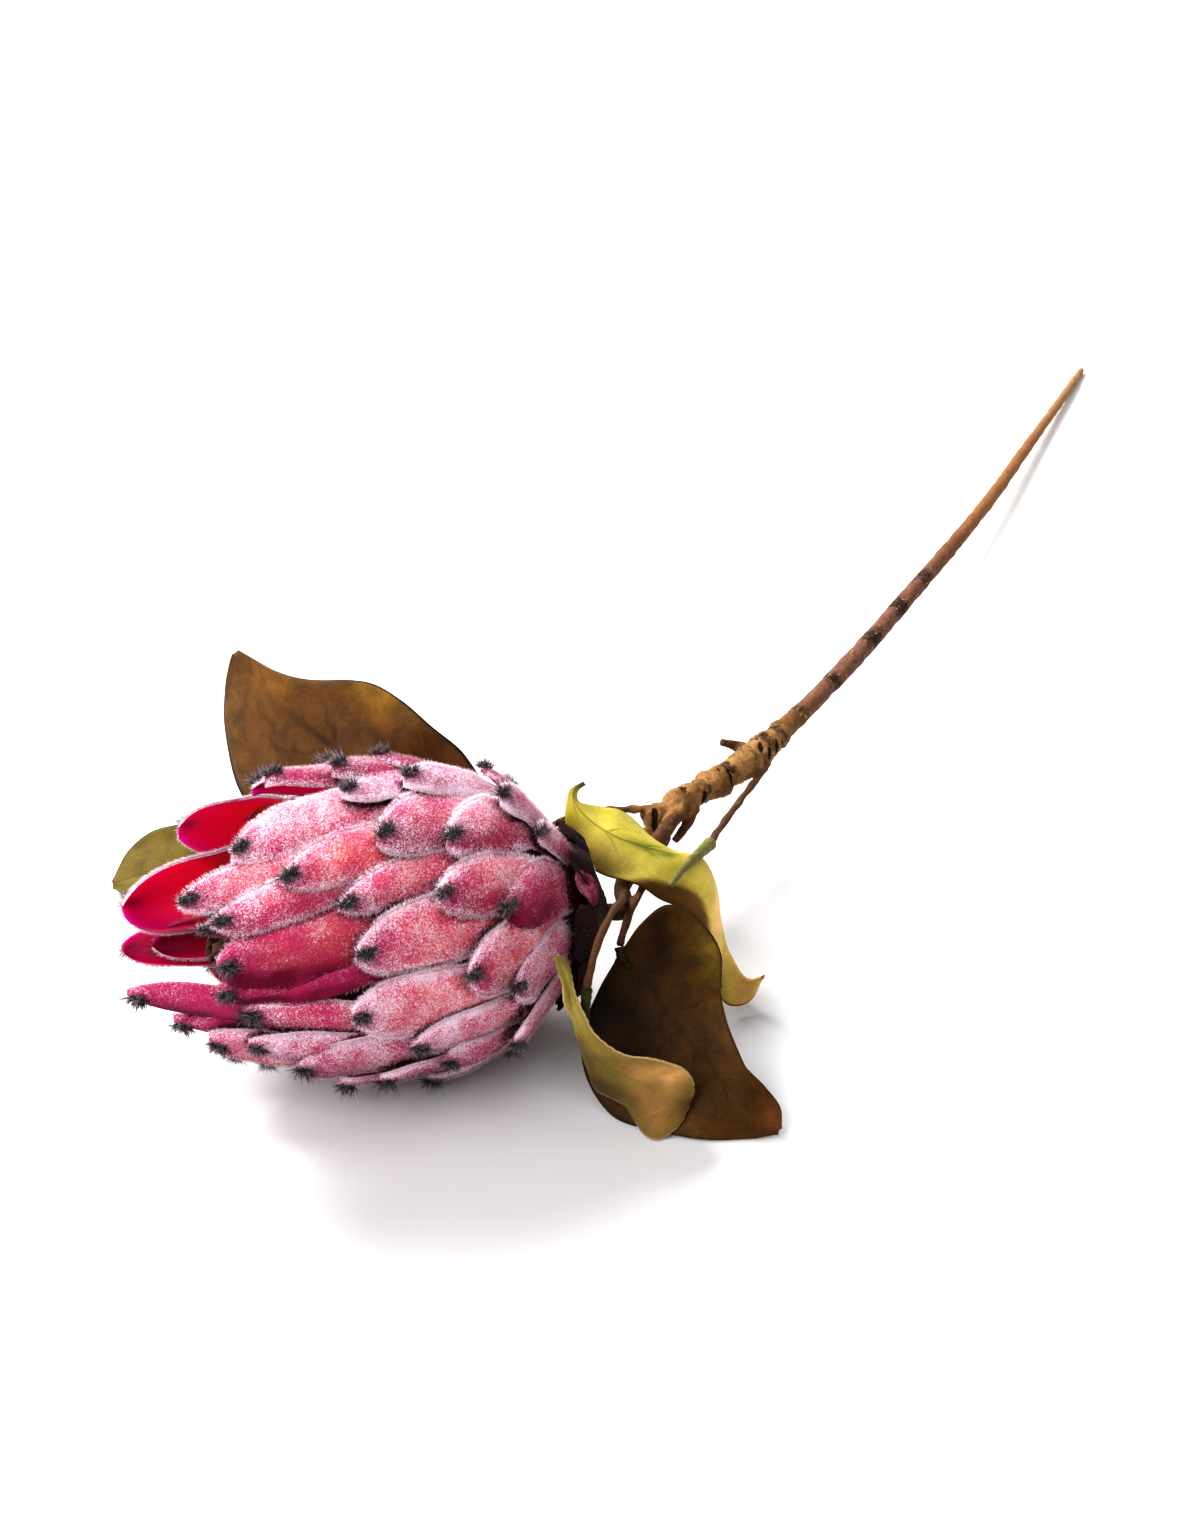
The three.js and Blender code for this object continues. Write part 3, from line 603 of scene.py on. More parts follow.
@dataclass(frozen=True)
class SatinFinish:
    """Inner face of a bract: smooth, glossy and deep red."""

    name: str = "bract_satin"
    # How finely the veins lie across and along a bract
    vein_scale: Place = (14.0, 1.6, 1.0)

    def make(self) -> bpy.types.Material:
        """Makes the material.

        Returns:
            The material.
        """
        recipe = Recipe(self.name)
        tint = recipe.attribute("tint", "Color")
        place = recipe.step("UVMap", uv_map="across_along").outputs["UV"]
        streak = recipe.step("Mapping", {"Vector": place, "Scale": self.vein_scale}).outputs["Vector"]
        vein = recipe.noise(streak, 1.0, 3.0)
        colour = recipe.blend(tint, (1.0, 0.6, 0.6), recipe.between(vein, 0.5, 0.8, 0.0, 0.15), "MULTIPLY")
        recipe.set(Base_Color=colour, Roughness=0.34, Specular_IOR_Level=0.4, Sheen_Weight=0.5,
                   Sheen_Roughness=0.5, Sheen_Tint=(*linear(255, 40, 110), 1.0), Subsurface_Weight=0.45,
                   Subsurface_Radius=(1.0, 0.15, 0.6), Subsurface_Scale=0.004)
        recipe.bump(vein, 0.0003, 0.5)
        return recipe.material


@dataclass(frozen=True)
class HairFinish:
    """Fine hairs, each with its own shade."""

    name: str
    dark: Colour
    light: Colour
    roughness: float = 0.7

    def make(self) -> bpy.types.Material:
        """Makes the material.

        Returns:
            The material.
        """
        recipe = Recipe(self.name)
        colour = recipe.blend(self.dark, self.light, recipe.attribute("shade"))
        recipe.set(Base_Color=colour, Roughness=self.roughness, Specular_IOR_Level=0.25)
        return recipe.material


@dataclass(frozen=True)
class DownFinish:
    """Short pale hairs that take some of the colour under them."""

    name: str = "pale_hair"
    roughness: float = 0.8

    def make(self) -> bpy.types.Material:
        """Makes the material.

        Returns:
            The material.
        """
        recipe = Recipe(self.name)
        recipe.set(Base_Color=recipe.attribute("tint", "Color"), Roughness=self.roughness,
                   Specular_IOR_Level=0.2)
        return recipe.material


@dataclass(frozen=True)
class DryFinish:
    """Dry plant matter: tinted by the mesh, streaked along it and a little fibrous."""

    name: str
    dark: Colour
    grain: float = 0.0012
    roughness: float = 0.8

    def make(self) -> bpy.types.Material:
        """Makes the material.

        Returns:
            The material.
        """
        recipe = Recipe(self.name)
        place = recipe.place()
        fibre = recipe.noise(place, self.grain, 6.0, 0.7, 1.2)
        blot = recipe.noise(place, self.grain * 6, 4.0)
        share = recipe.calc("MULTIPLY", recipe.between(fibre, 0.4, 0.65), recipe.between(blot, 0.3, 0.6))
        colour = recipe.blend(recipe.attribute("tint", "Color"), self.dark, share)
        recipe.set(Base_Color=colour, Roughness=self.roughness, Specular_IOR_Level=0.3)
        recipe.bump(fibre, 0.0006, 0.8)
        return recipe.material


@dataclass(frozen=True)
class BarkFinish:
    """Woody bark: tinted by the mesh, with dark mottles, pale flecks and fine rings."""

    name: str = "bark"
    dark: Colour = linear(42, 26, 24)
    fleck: Colour = linear(214, 180, 96)

    def make(self) -> bpy.types.Material:
        """Makes the material.

        Returns:
            The material.
        """
        recipe = Recipe(self.name)
        place = recipe.place()
        mottle = recipe.noise(place, 0.0035, 6.0, 0.65, 0.8)
        fine = recipe.noise(place, 0.0009, 5.0, 0.7)
        flecks = recipe.noise(place, 0.0026, 3.0, 0.5, 1.5)
        age = recipe.attribute("age")
        dark_share = recipe.between(recipe.calc("ADD", mottle, age), 0.62, 0.95, 0.0, 0.92)
        colour = recipe.blend(recipe.attribute("tint", "Color"), self.dark, dark_share)
        light_share = recipe.calc("MULTIPLY", recipe.between(flecks, 0.6, 0.72, 0.0, 0.75),
                                 recipe.between(age, -0.1, 0.3, 0.15, 1.0))
        colour = recipe.blend(colour, self.fleck, light_share)
        shade = recipe.between(fine, 0.3, 0.7, 0.75, 1.12)
        grey = recipe.step("CombineColor", {0: shade, 1: shade, 2: shade}).outputs["Color"]
        colour = recipe.blend(colour, grey, 1.0, "MULTIPLY")
        recipe.set(Base_Color=colour, Roughness=0.7, Specular_IOR_Level=0.2)
        recipe.bump(recipe.calc("ADD", fine, mottle), 0.0007, 0.7)
        return recipe.material


@dataclass(frozen=True)
class LeafFinish:
    """Leaf cloth: tinted by the mesh, with printed veins, a dark cut edge and a satin gloss."""

    name: str
    vein: Colour
    edge: Colour
    vein_share: float = 0.5
    pairs: float = 6.0
    slope: float = 1.5
    vein_end: float = 0.95
    mottle: float = 0.5
    roughness: float = 0.5

    def make(self) -> bpy.types.Material:
        """Makes the material.

        Returns:
            The material.
        """
        recipe = Recipe(self.name)
        place = recipe.place()
        uv = recipe.step("SeparateXYZ", {0: recipe.step("UVMap", uv_map="across_along").outputs["UV"]})
        stray = recipe.between(recipe.noise(place, 0.012, 1.0), 0.25, 0.75, -0.03, 0.03)
        half_stray = recipe.calc("MULTIPLY", stray, 0.5)
        across = recipe.calc("ABSOLUTE", recipe.calc("ADD", uv.outputs["X"], half_stray))
        along = recipe.calc("ADD", uv.outputs["Y"], stray)
        phase = recipe.calc("SUBTRACT", recipe.calc("MULTIPLY", along, self.pairs),
                           recipe.calc("MULTIPLY", across, self.slope))
        away = recipe.calc("ABSOLUTE", recipe.calc("SUBTRACT", recipe.calc("FRACT", phase), 0.5))
        side = recipe.calc("MULTIPLY", recipe.between(away, 0.0, 0.1, 1.0, 0.0),
                          recipe.between(across, 0.15, 0.6, 1.0, 0.0))
        rib = recipe.between(across, 0.01, 0.06, 1.0, 0.0)
        vein = recipe.calc("MAXIMUM", rib, recipe.calc("MULTIPLY", side, 0.7))
        fade = recipe.between(uv.outputs["Y"], self.vein_end - 0.25, self.vein_end, 1.0, 0.0)
        vein = recipe.calc("MULTIPLY", vein, fade)
        cloud = recipe.noise(place, 0.008, 6.0, 0.68, 0.4)
        fine = recipe.noise(place, 0.0007, 4.0, 0.7)
        shade = recipe.between(cloud, 0.28, 0.72, 1.0 - 0.5 * self.mottle, 1.0 + 0.4 * self.mottle)
        shade = recipe.calc("MULTIPLY", shade, recipe.between(fine, 0.2, 0.8, 0.86, 1.1))
        grey = recipe.step("CombineColor", {0: shade, 1: shade, 2: shade}).outputs["Color"]
        colour = recipe.blend(recipe.attribute("tint", "Color"), grey, 1.0, "MULTIPLY")
        colour = recipe.blend(colour, self.vein, recipe.calc("MULTIPLY", vein, self.vein_share))
        rim = recipe.calc("ABSOLUTE", uv.outputs["X"])
        colour = recipe.blend(colour, self.edge, recipe.between(rim, 0.955, 0.99, 0.0, 0.85))
        recipe.set(Base_Color=colour, Roughness=self.roughness, Specular_IOR_Level=0.16)
        relief = recipe.calc("SUBTRACT", recipe.calc("MULTIPLY", fine, 0.35),
                             recipe.calc("MULTIPLY", vein, 0.5))
        recipe.bump(relief, 0.0005, 0.7)
        return recipe.material


@dataclass(frozen=True)
class FloorFinish:
    """Smooth pale table top with a painted soft shadow that greys it round the bloom."""

    name: str = "table_top"
    # Centre of the painted shadow round the bloom, the shadow's tone there, and the table's own tone further
    # out
    middle: Place = (-0.29, -0.06, 0.0)
    shadow_tone: Colour = (0.7, 0.69, 0.7)
    far_tone: Colour = (0.92, 0.92, 0.92)

    def make(self) -> bpy.types.Material:
        """Makes the material.

        Returns:
            The material.
        """
        recipe = Recipe(self.name)
        away = recipe.step("VectorMath", {0: recipe.place(), 1: self.middle}, operation="DISTANCE")
        share = recipe.between(away.outputs["Value"], 0.08, 0.5)
        colour = recipe.blend(self.shadow_tone, self.far_tone, share)
        recipe.set(Base_Color=colour, Roughness=0.55, Specular_IOR_Level=0.2)
        return recipe.material


# The flower head

@dataclass(frozen=True)
class HeadFrame:
    """Where the flower head lies: points are given by station, angle and radius.

    The station runs along the head's axis from its base to its mouth. Angle 0 faces up and out to
    the front, and 90 faces down.
    """

    base: Place = (-230.9, -44.9, 41.6)
    azimuth: float = 133.7
    rise: float = 8.9
    face_tilt: float = 33.8
    profile: tuple[tuple[float, float], ...] = (
        (-9, 20), (0, 25.7), (7, 29), (12, 33.7), (23, 43.1), (36, 47.3), (49, 48.4), (62, 48.6),
        (79, 47.3), (95, 44.6), (108, 39.8), (121, 34.6), (134, 30.1), (152, 23.6),
    )

    @cached_property
    def axes(self) -> Array:
        """The head's axis, the way angle 0 faces and the way angle 90 faces, as rows.

        Returns:
            Three rows of length one.
        """
        azimuth, rise, tilt = (math.radians(a) for a in (self.azimuth, self.rise, self.face_tilt))
        axis = np.array((math.cos(rise) * math.cos(azimuth), math.cos(rise) * math.sin(azimuth),
                         math.sin(rise)))
        level = unit(np.cross((0.0, 0.0, 1.0), axis))
        face = math.cos(tilt) * level + math.sin(tilt) * np.cross(axis, level)
        return np.array((axis, face, np.cross(face, axis)))

    def place(self, station: Array, angle: Array, radius: Array) -> Array:
        """Points from stations, angles in degrees and radii, one row each.

        Args:
            station: Millimetres along the axis.
            angle: Degrees round it.
            radius: Millimetres from it.

        Returns:
            One point for each row.
        """
        turn = np.radians(angle)
        local = np.stack(np.broadcast_arrays(station, radius * np.cos(turn), radius * np.sin(turn)), -1)
        return np.array(self.base) + local @ self.axes

    def outline(self, station: Array) -> Array:
        """Radius of the closed head at stations."""
        stations, radii = zip(*self.profile)
        return np.interp(station, stations, radii)

    def turned(self, profile: Sequence[tuple[float, float]], steps: int) -> bmesh.types.BMesh:
        """Solid turned round the head's axis.

        Args:
            profile: Stations and radii, from the axis back to the axis.
            steps: Faces round it.

        Returns:
            The closed solid.
        """
        form = bmesh.new()
        verts = [form.verts.new((radius, 0.0, station)) for station, radius in profile]
        edges = [form.edges.new(pair) for pair in zip(verts, verts[1:])]
        bmesh.ops.spin(form, geom=verts + edges, cent=(0, 0, 0), axis=(0, 0, 1), dvec=(0, 0, 0),
                       angle=2 * math.pi, steps=steps, use_merge=True)
        bmesh.ops.remove_doubles(form, verts=form.verts[:], dist=0.001)
        axis, face, down = (Vector(row) for row in self.axes)
        turn = Matrix((face, down, axis)).transposed().to_4x4()
        bmesh.ops.transform(form, matrix=Matrix.Translation(self.base) @ turn, verts=form.verts[:])
        bmesh.ops.recalc_face_normals(form, faces=form.faces[:])
        return form


@dataclass(frozen=True)
class Bract:
    """One bract: where its tip is, its size, how it lies and how its colours are shared out.

    lift raises its tip off the head, flare bends its end out, and cup rolls its margins in. One with
    a blade is thinner and stands free at the mouth. coral is the warm patch towards its root, wine
    sets the dark patch along its lower side, partly the bract's own deep colour and partly painted
    shade where that side turns from the light, and frost is the share of pale hairs over it.
    """

    tip: float
    angle: float
    length: float
    width: float
    turn: float
    lift: float
    flare: float = 0.0
    cup: float = 0.0
    blade: float = 0.0
    coral: float = 0.5
    wine_and_shade: float = 0.3
    frost: float = 0.65


# Bracts of the front and of the mouth, from the base to the mouth
FRONT_BRACTS = (
    Bract(20, -40, 24, 15, 27, 1.6, coral=0.4, wine_and_shade=0.3, frost=0.7),
    Bract(31, -53, 26, 20, 20, 3, coral=0.2, wine_and_shade=0.2, frost=0.9),
    Bract(34, -6, 30, 23.5, 18.5, 0.2, coral=0.3, wine_and_shade=0.9, frost=0.5),
    Bract(30, 24.5, 27, 22, 8.5, 0.6, coral=0.5, wine_and_shade=0.3, frost=0.75),
    Bract(31, -84, 27, 24, 10, 1.6, coral=0.2, wine_and_shade=0.3, frost=0.7),
    Bract(27.5, 50, 26, 22.5, -1.5, 3.2, coral=0.3, wine_and_shade=0.4, frost=0.7),
    Bract(45, 17.5, 36, 25, 13.5, 1.8, coral=0.8, wine_and_shade=0.4, frost=0.65),
    Bract(50, -31, 40, 24.5, 27, 1.6, coral=0.5, wine_and_shade=0.5, frost=0.7),
    Bract(54.5, -12, 42, 20, 9, 2.8, coral=0.7, wine_and_shade=0.5, frost=0.65),
    Bract(59.5, -58.5, 46, 21, 25, 3, coral=0.2, wine_and_shade=0.2, frost=1.0),
    Bract(59, 46, 44, 18.5, 6.5, 2.4, coral=0.5, wine_and_shade=0.3, frost=0.8),
    Bract(48.5, 54.5, 36, 19, -12, 3, coral=0.3, wine_and_shade=0.4, frost=0.7),
    Bract(65.5, 69, 44, 19, -4, 3, coral=0.3, wine_and_shade=0.4, frost=0.7),
    Bract(64.5, -83, 44, 21, 4, 2.4, coral=0.2, wine_and_shade=0.5, frost=0.6),
    Bract(70, -33.5, 48, 26, 25, 1.6, coral=0.5, wine_and_shade=0.4, frost=0.68),
    Bract(78, -56, 48, 19.5, 27, 1, coral=0.2, wine_and_shade=0.1, frost=0.9),
    Bract(79, -70, 48, 19, 24, 3, coral=0.2, wine_and_shade=0.6, frost=0.65),
    Bract(82, -9, 52, 15, 22, 0.6, coral=0.7, wine_and_shade=0.3, frost=0.6),
    Bract(77.5, 8, 52, 23.5, 14, 2, coral=0.9, wine_and_shade=0.15, frost=0.66),
    Bract(78, 31, 52, 23, 5.5, 3.2, coral=0.9, wine_and_shade=0.15, frost=0.68),
    Bract(91, 61.5, 52, 30, 0.5, 3.2, coral=0.3, wine_and_shade=0.4, frost=0.75),
    Bract(98, -19, 54, 19, 25.5, 1, coral=1.0, wine_and_shade=0.1, frost=0.5),
    Bract(98, -77, 52, 20, 6, 2, coral=0.2, wine_and_shade=0.6, frost=0.6),
    Bract(110.5, -35, 56, 23.5, 27, 1.2, blade=2, coral=0.5, wine_and_shade=0.15, frost=0.75),
    Bract(107.5, 37.5, 54, 15.5, -3.5, 0, blade=2, coral=0.4, wine_and_shade=0.8, frost=0.5),
    Bract(105.5, 49, 52, 18.5, -12, 4, blade=2, coral=0.3, wine_and_shade=0.4, frost=0.7),
    Bract(116, 57, 56, 25, -14, 3, flare=1, blade=1.8, coral=0.9, wine_and_shade=0.3, frost=0.6),
    Bract(115, 17.5, 58, 28, 19.5, -0.2, blade=2, coral=0.55, wine_and_shade=1.0, frost=0.3),
    Bract(117, -3, 58, 15, 27, 2.6, blade=1.8, coral=0.5, wine_and_shade=0.4, frost=0.6),
    Bract(114.5, 31.5, 54, 15, 20, -0.8, blade=1.8, coral=0.1, wine_and_shade=1.0, frost=0.2),
    Bract(125.5, -12.5, 56, 15, 27, 1.6, blade=1.8, coral=0.8, wine_and_shade=0.1, frost=0.62),
    Bract(119, 0, 44, 13, 4, -11, cup=2, blade=1.8, coral=0.2, wine_and_shade=0.8, frost=0.4),
    Bract(139, 40, 56, 15.5, -0.5, 2, flare=-1, blade=1.8, coral=0.1, wine_and_shade=1.0, frost=0.14),
    Bract(125.5, 60.5, 54, 17, 7, -0.6, blade=1.8, coral=0.1, wine_and_shade=1.0, frost=0.14),
    Bract(120.5, -128.5, 56, 30.5, 22, 4.6, flare=-2.5, blade=1.8, coral=0.3, wine_and_shade=0.3, frost=0.7),
    Bract(99, -106, 50, 20, 4, 0.2, blade=1.8, coral=0.2, wine_and_shade=0.5, frost=0.9),
    Bract(137.5, -170.5, 58, 33, -16, 2.6, flare=-2, cup=6, blade=1.8, coral=0.3, wine_and_shade=0.3, frost=0.7),
    Bract(137, 162, 58, 15.5, -5.5, 1.8, flare=7, cup=1.5, blade=1.8, coral=0.1, wine_and_shade=0.8, frost=0.5),
    Bract(128, 164, 52, 20, -10, -5, flare=8.5, cup=5, blade=1.8, coral=0.1, wine_and_shade=0.8, frost=0.5),
)


@dataclass(frozen=True)
class BractRow:
    """One even row of the head's back, of which only the bracts that fall on the back are made."""

    tip: float
    first: float
    count: int
    length: float
    width: float
    turn: float
    lift: float
    until: float = 262.0
    flare: float = 0.0
    blade: float = 0.0


BACK_ROWS = (
    BractRow(24, -8, 12, 25, 29, 8, 0.8),
    BractRow(49, -10, 14, 40, 26, 10, 3.4),
    BractRow(74, -11, 14, 47, 26, 10, 3.4),
    BractRow(95, -19, 12, 50, 26, 10, 1, until=238),
    BractRow(110, -4, 11, 54, 25, 8, 0.4, until=204, flare=1, blade=1.8),
)


class Side(Enum):
    """The two faces of a bract, as the number of their finish."""

    OUTER = 0
    INNER = 1


@dataclass
class FlowerHead:
    """The bloom: a core painted dark as the shade deep between the bracts, plush bracts over it, their tufts
    and their coat of pale hairs.
    """

    head: HeadFrame
    columns: int = 12
    rows: int = 20
    tip_crowding: float = 1.35
    root_width: float = 0.62
    full_from: float = 0.45
    taper_from: float = 0.5
    taper: float = 0.42
    taper_power: float = 1.8
    round_from: float = 0.74
    tip_width: float = 0.2
    crown: float = 2.0
    root_sink: float = 6.5
    thickness: float = 1.9
    rim_thickness: float = 0.7
    back_from: float = 84
    tip_scatter: float = 7
    angle_scatter: float = 9
    size_scatter: float = 4
    turn_scatter: float = 14
    lift_scatter: float = 1.2
    # Heights of a bract's fine relief
    roll: float = 0.55
    sway: float = 0.7
    keel: float = 0.35
    ripple: float = 0.22
    rim_ripple: float = 0.35
    nose: float = 1.1
    # The core's stations and how far it stays under the head's outline there
    core_insets: tuple[tuple[float, float], ...] = (
        (0, 3), (8, 5), (20, 7), (35, 8), (50, 8), (65, 8), (80, 9), (90, 12))
    core_top: float = 96
    tuft_hairs: int = 150
    tuft_length: float = 4.7
    tuft_thickness: float = 0.19
    tuft_along: float = 0.95
    fuzz_count: int = 138000
    fuzz_draws: float = 3.4
    fuzz_on_rim: float = 0.3
    fuzz_length: float = 1.45
    fuzz_thickness: float = 0.06
    fuzz_pieces: int = 3
    # Free height over a spot that is open to hairs
    fuzz_clearance: float = 3.0
    # Colours of a bract's outer face; the underside and hollow colours are painted shade, the wine colour
    # partly painted shade
    rose: Colour = linear(194, 48, 112)
    coral: Colour = linear(250, 108, 98)
    wine_and_shade: Colour = linear(104, 0, 46)
    underside_shade: Colour = linear(96, 4, 44)
    hollow_shade: Colour = linear(44, 2, 14)
    tip_spot: Colour = linear(48, 26, 34)
    hair_colour: Colour = linear(255, 240, 248)
    # Colours of its inner face; the glow colour is painted light shining through the bract, the inner wine
    # colour partly painted shade
    red: Colour = linear(246, 26, 104)
    backlit_glow: Colour = linear(255, 72, 44)
    magenta: Colour = linear(214, 16, 130)
    inner_tip: Colour = linear(206, 20, 126)
    inner_root: Colour = linear(90, 4, 14)
    inner_wine_and_shade: Colour = linear(104, 4, 44)
    cut_rim: Colour = linear(232, 120, 110)
    # Painted shade: the dark colour of the core seen in the gaps between the bracts
    core_shade: Colour = linear(70, 10, 24)
    # Rays and their reach, which tell how hidden a spot is, for the painted shade in the crevices
    sky_rays: int = 12
    sky_reach: float = 7.0

    @cached_property
    def bracts(self) -> list[Bract]:
        """Every bract, those of the back each a little different from its neighbours.

        Returns:
            The bracts, those of the front first.
        """
        found = list(FRONT_BRACTS)
        index = 0
        for row in BACK_ROWS:
            for k in range(row.count):
                index += 1
                angle = row.first + 360 * k / row.count + self.angle_scatter * wobble(index, 2)
                angle %= 360
                if self.back_from < angle < row.until:
                    found.append(Bract(
                        row.tip + self.tip_scatter * wobble(index, 1), angle, row.length,
                        row.width + self.size_scatter * wobble(index, 3),
                        row.turn + self.turn_scatter * wobble(index, 4),
                        row.lift + self.lift_scatter * wobble(index, 5), row.flare, 0.0, row.blade,
                        0.45 + 0.8 * wobble(index, 6), 0.4 + 0.8 * wobble(index, 7),
                        0.7 + 0.4 * wobble(index, 8)))
        return found

    def half_width(self, along: Array) -> Array:
        """Half width of a bract along its length, as a share of its widest half width.

        Args:
            along: Shares along it, 0 at the root.

        Returns:
            A share for each.
        """
        root = self.root_width + (1 - self.root_width) * np.minimum(1, along / self.full_from)
        taper = np.maximum(0, (along - self.taper_from) / (1 - self.taper_from))
        end = np.clip((along - self.round_from) / (1 - self.round_from), 0, 1)
        close = np.sqrt(np.maximum(1 - end**2.6, self.tip_width**2))
        return root * (1 - self.taper * taper**self.taper_power) * close

    def surface(self, bract: Bract, number: int, across: Array, along: Array, depth: Array) -> Array:
        """Points of one bract.

        Args:
            bract: The bract.
            number: Its number, which seeds its small differences.
            across: Shares across it, from -1 to 1.
            along: Shares along it, from 0 at the root to 1 at the tip.
            depth: How far under its outer face each point is.

        Returns:
            One point for each share, in millimetres.
        """
        station = bract.tip - bract.length * (1 - along)
        envelope = self.head.outline(station)
        reach = bract.width / 2 * self.half_width(along) * across
        sway = self.sway * np.sin(along * 5.1 + 6.28 * wobble(number, 11)) * along
        angle = bract.angle + bract.turn * (along - 1) + np.degrees((reach + sway) / envelope)
        sink = self.root_sink * (1 - along) ** 1.1
        edge = np.abs(across)
        crown = (self.crown + bract.cup) * edge**2.4 * np.minimum(1, along * 2)
        stand = bract.lift * along + bract.flare * along**4
        stand = stand + self.roll * across * (1 if wobble(number, 12) > 0 else -1) * along
        keel = self.keel * np.exp(-(across / 0.22) ** 2) * along * (0.5 + wobble(number, 13))
        ripple = self.ripple * np.sin(3.4 * across + 4.0 * along + 9.0 * wobble(number, 14))
        rim = edge**3 * np.sin(13 * along + 11.0 * wobble(number, 15) + 2 * across)
        ripple = ripple + self.rim_ripple * rim
        nose = self.nose * np.maximum(0, (along - 0.86) / 0.14) ** 2
        radius = envelope - sink - crown + stand + keel + ripple - nose - depth
        points = self.head.place(station, angle, radius)
        points[:, 2] = np.maximum(points[:, 2], TABLE_GAP)
        return points

    def depth(self, bract: Bract, across: Array, along: Array) -> Array:
        """Thickness of a bract at shares across and along it.

        Args:
            bract: The bract.
            across: Shares across it.
            along: Shares along it.

        Returns:
            Millimetres for each.
        """
        middle = self.thickness if bract.blade == 0 else self.thickness * 0.75
        full = middle + (self.rim_thickness - middle) * np.abs(across) ** 2.5
        return full * (1 - 0.35 * along)

    def outer_tint(self, bract: Bract, across: Array, along: Array, points: Array,
                   hidden: Array, ways: Array) -> tuple[Array, Array]:
        """Colour and frost of a bract's outer face, with painted shade in its crevices and on faces that look
        down, and partly in its dark lower patch.

        Args:
            bract: The bract.
            across: Shares across it.
            along: Shares along it.
            points: Its points, in millimetres.
            hidden: Share of the sky that its neighbours hide from each point.
            ways: The way out from the surface at each point.

        Returns:
            One colour and one share of frost for each point.
        """
        cloud = drift(points, 8.0, 5)
        edge = np.abs(across)
        warm = bract.coral * (0.8 + 0.35 * cloud) * ramp(1.12 - along, 0.1, 0.5) * (1 - 0.4 * edge**2)
        tint = mix(even(self.rose, len(points)), self.coral, 0.9 * warm)
        # Dark patch on the lower side: partly the bract's own deep colour, partly painted shade where that
        # side turns from the light
        lower = ramp(across, -0.3, 0.6) * ramp(along, 0.1, 0.5)
        dark = bract.wine_and_shade * (1.0 + 0.25 * cloud) * np.maximum(lower, 0.4 * np.exp(-(edge / 0.4) ** 2))
        tint = mix(tint, self.wine_and_shade, dark)
        margin = ramp(edge, 0.6, 1.0)
        tipward = ramp(along, 0.72, 1.0)
        frost = 0.1 + bract.frost * (0.48 + 0.42 * margin + 0.16 * tipward) + 0.1 * cloud - 0.42 * dark
        # Painted shade on the faces that look down towards the table, with fewer pale hairs there
        below = ramp(0.1 - ways[:, 2], 0.0, 1.0) * ramp(60 - points[:, 2], 0.0, 45)
        tint = mix(tint, self.underside_shade, 0.75 * below)
        frost = frost * (1 - 0.5 * below)
        # Painted shade in the crevices that neighbouring bracts hide from the sky, with fewer pale hairs
        # there
        shade = ramp(hidden, 0.1, 0.65)
        tint = mix(tint, self.hollow_shade, 0.95 * shade)
        frost = frost * (1 - 0.9 * shade)
        from_tuft = (along - self.tuft_along) * bract.length
        spot = np.exp(-((from_tuft / 2.6) ** 2 + (across * bract.width / 7.5) ** 2))
        tint = mix(tint, self.tip_spot, 0.9 * spot)
        return tint, frost * (1 - 0.75 * spot)

    def inner_tint(self, bract: Bract, across: Array, along: Array, points: Array) -> Array:
        """Colour of a bract's inner face: red-orange towards the root, painted light shining through the
        bract, and magenta at the margins.

        Args:
            bract: The bract.
            across: Shares across it.
            along: Shares along it.
            points: Its points, in millimetres.

        Returns:
            One colour for each point.
        """
        cloud = drift(points, 9.0, 21)
        edge = np.abs(across)
        return paint(
            even(self.red, len(points)),
            # Painted light shining through the bract, red-orange towards the root
            (self.backlit_glow, ramp(1 - along, 0.2, 0.6) * (0.85 + 0.3 * cloud)),
            (self.magenta, 0.85 * ramp(edge, 0.4, 1.0) * ramp(along, 0.2, 0.6)),
            (self.inner_tip, 0.75 * ramp(along, 0.72, 1.0)),
            (self.inner_root, 0.85 * ramp(0.35 - along, 0.0, 0.25)),
            # Bracts with a strong dark patch are darker inside too: partly their own colour, partly painted
            # shade
            (self.inner_wine_and_shade, np.full(len(points), 1.3 * max(0.0, bract.wine_and_shade - 0.3))),
            (self.cut_rim, 0.8 * ramp(edge, 0.94, 1.0)))

    def hidden_share(self, tree: BVHTree, points: Array, ways: Array) -> Array:
        """Share of the sky over points that lies behind something near, which sets the painted shade in the
        crevices.

        Args:
            tree: The faces that can stand in the way.
            points: Where to look from, in millimetres.
            ways: The way out from the surface at each point.

        Returns:
            A share from 0 to 1 for each point.
        """
        draw = np.random.default_rng(3)
        fans = unit(draw.normal(size=(self.sky_rays, 3)))
        found = np.zeros(len(points))
        for row, (point, way) in enumerate(zip(points, ways)):
            start = Vector(point + way * 0.25)
            for fan in unit(fans + 1.05 * way):
                found[row] += tree.ray_cast(start, Vector(fan), self.sky_reach)[0] is not None
        return found / self.sky_rays

    def build_core(self, finish: bpy.types.Material) -> bpy.types.Object:
        """Dark body under the bracts, its colour painted shade for the deep gaps between them.

        Args:
            finish: The core's material.

        Returns:
            The piece's object.
        """
        ring = [(station, float(self.head.outline(station)) - inset) for station, inset in self.core_insets]
        form = self.head.turned([(0, 0), *ring, (self.core_top, 22), (self.core_top, 0)], 40)
        parts = Assembly()
        parts.add(form, tint=even(self.core_shade, len(form.verts)))
        return parts.piece("bloom_core", [finish])

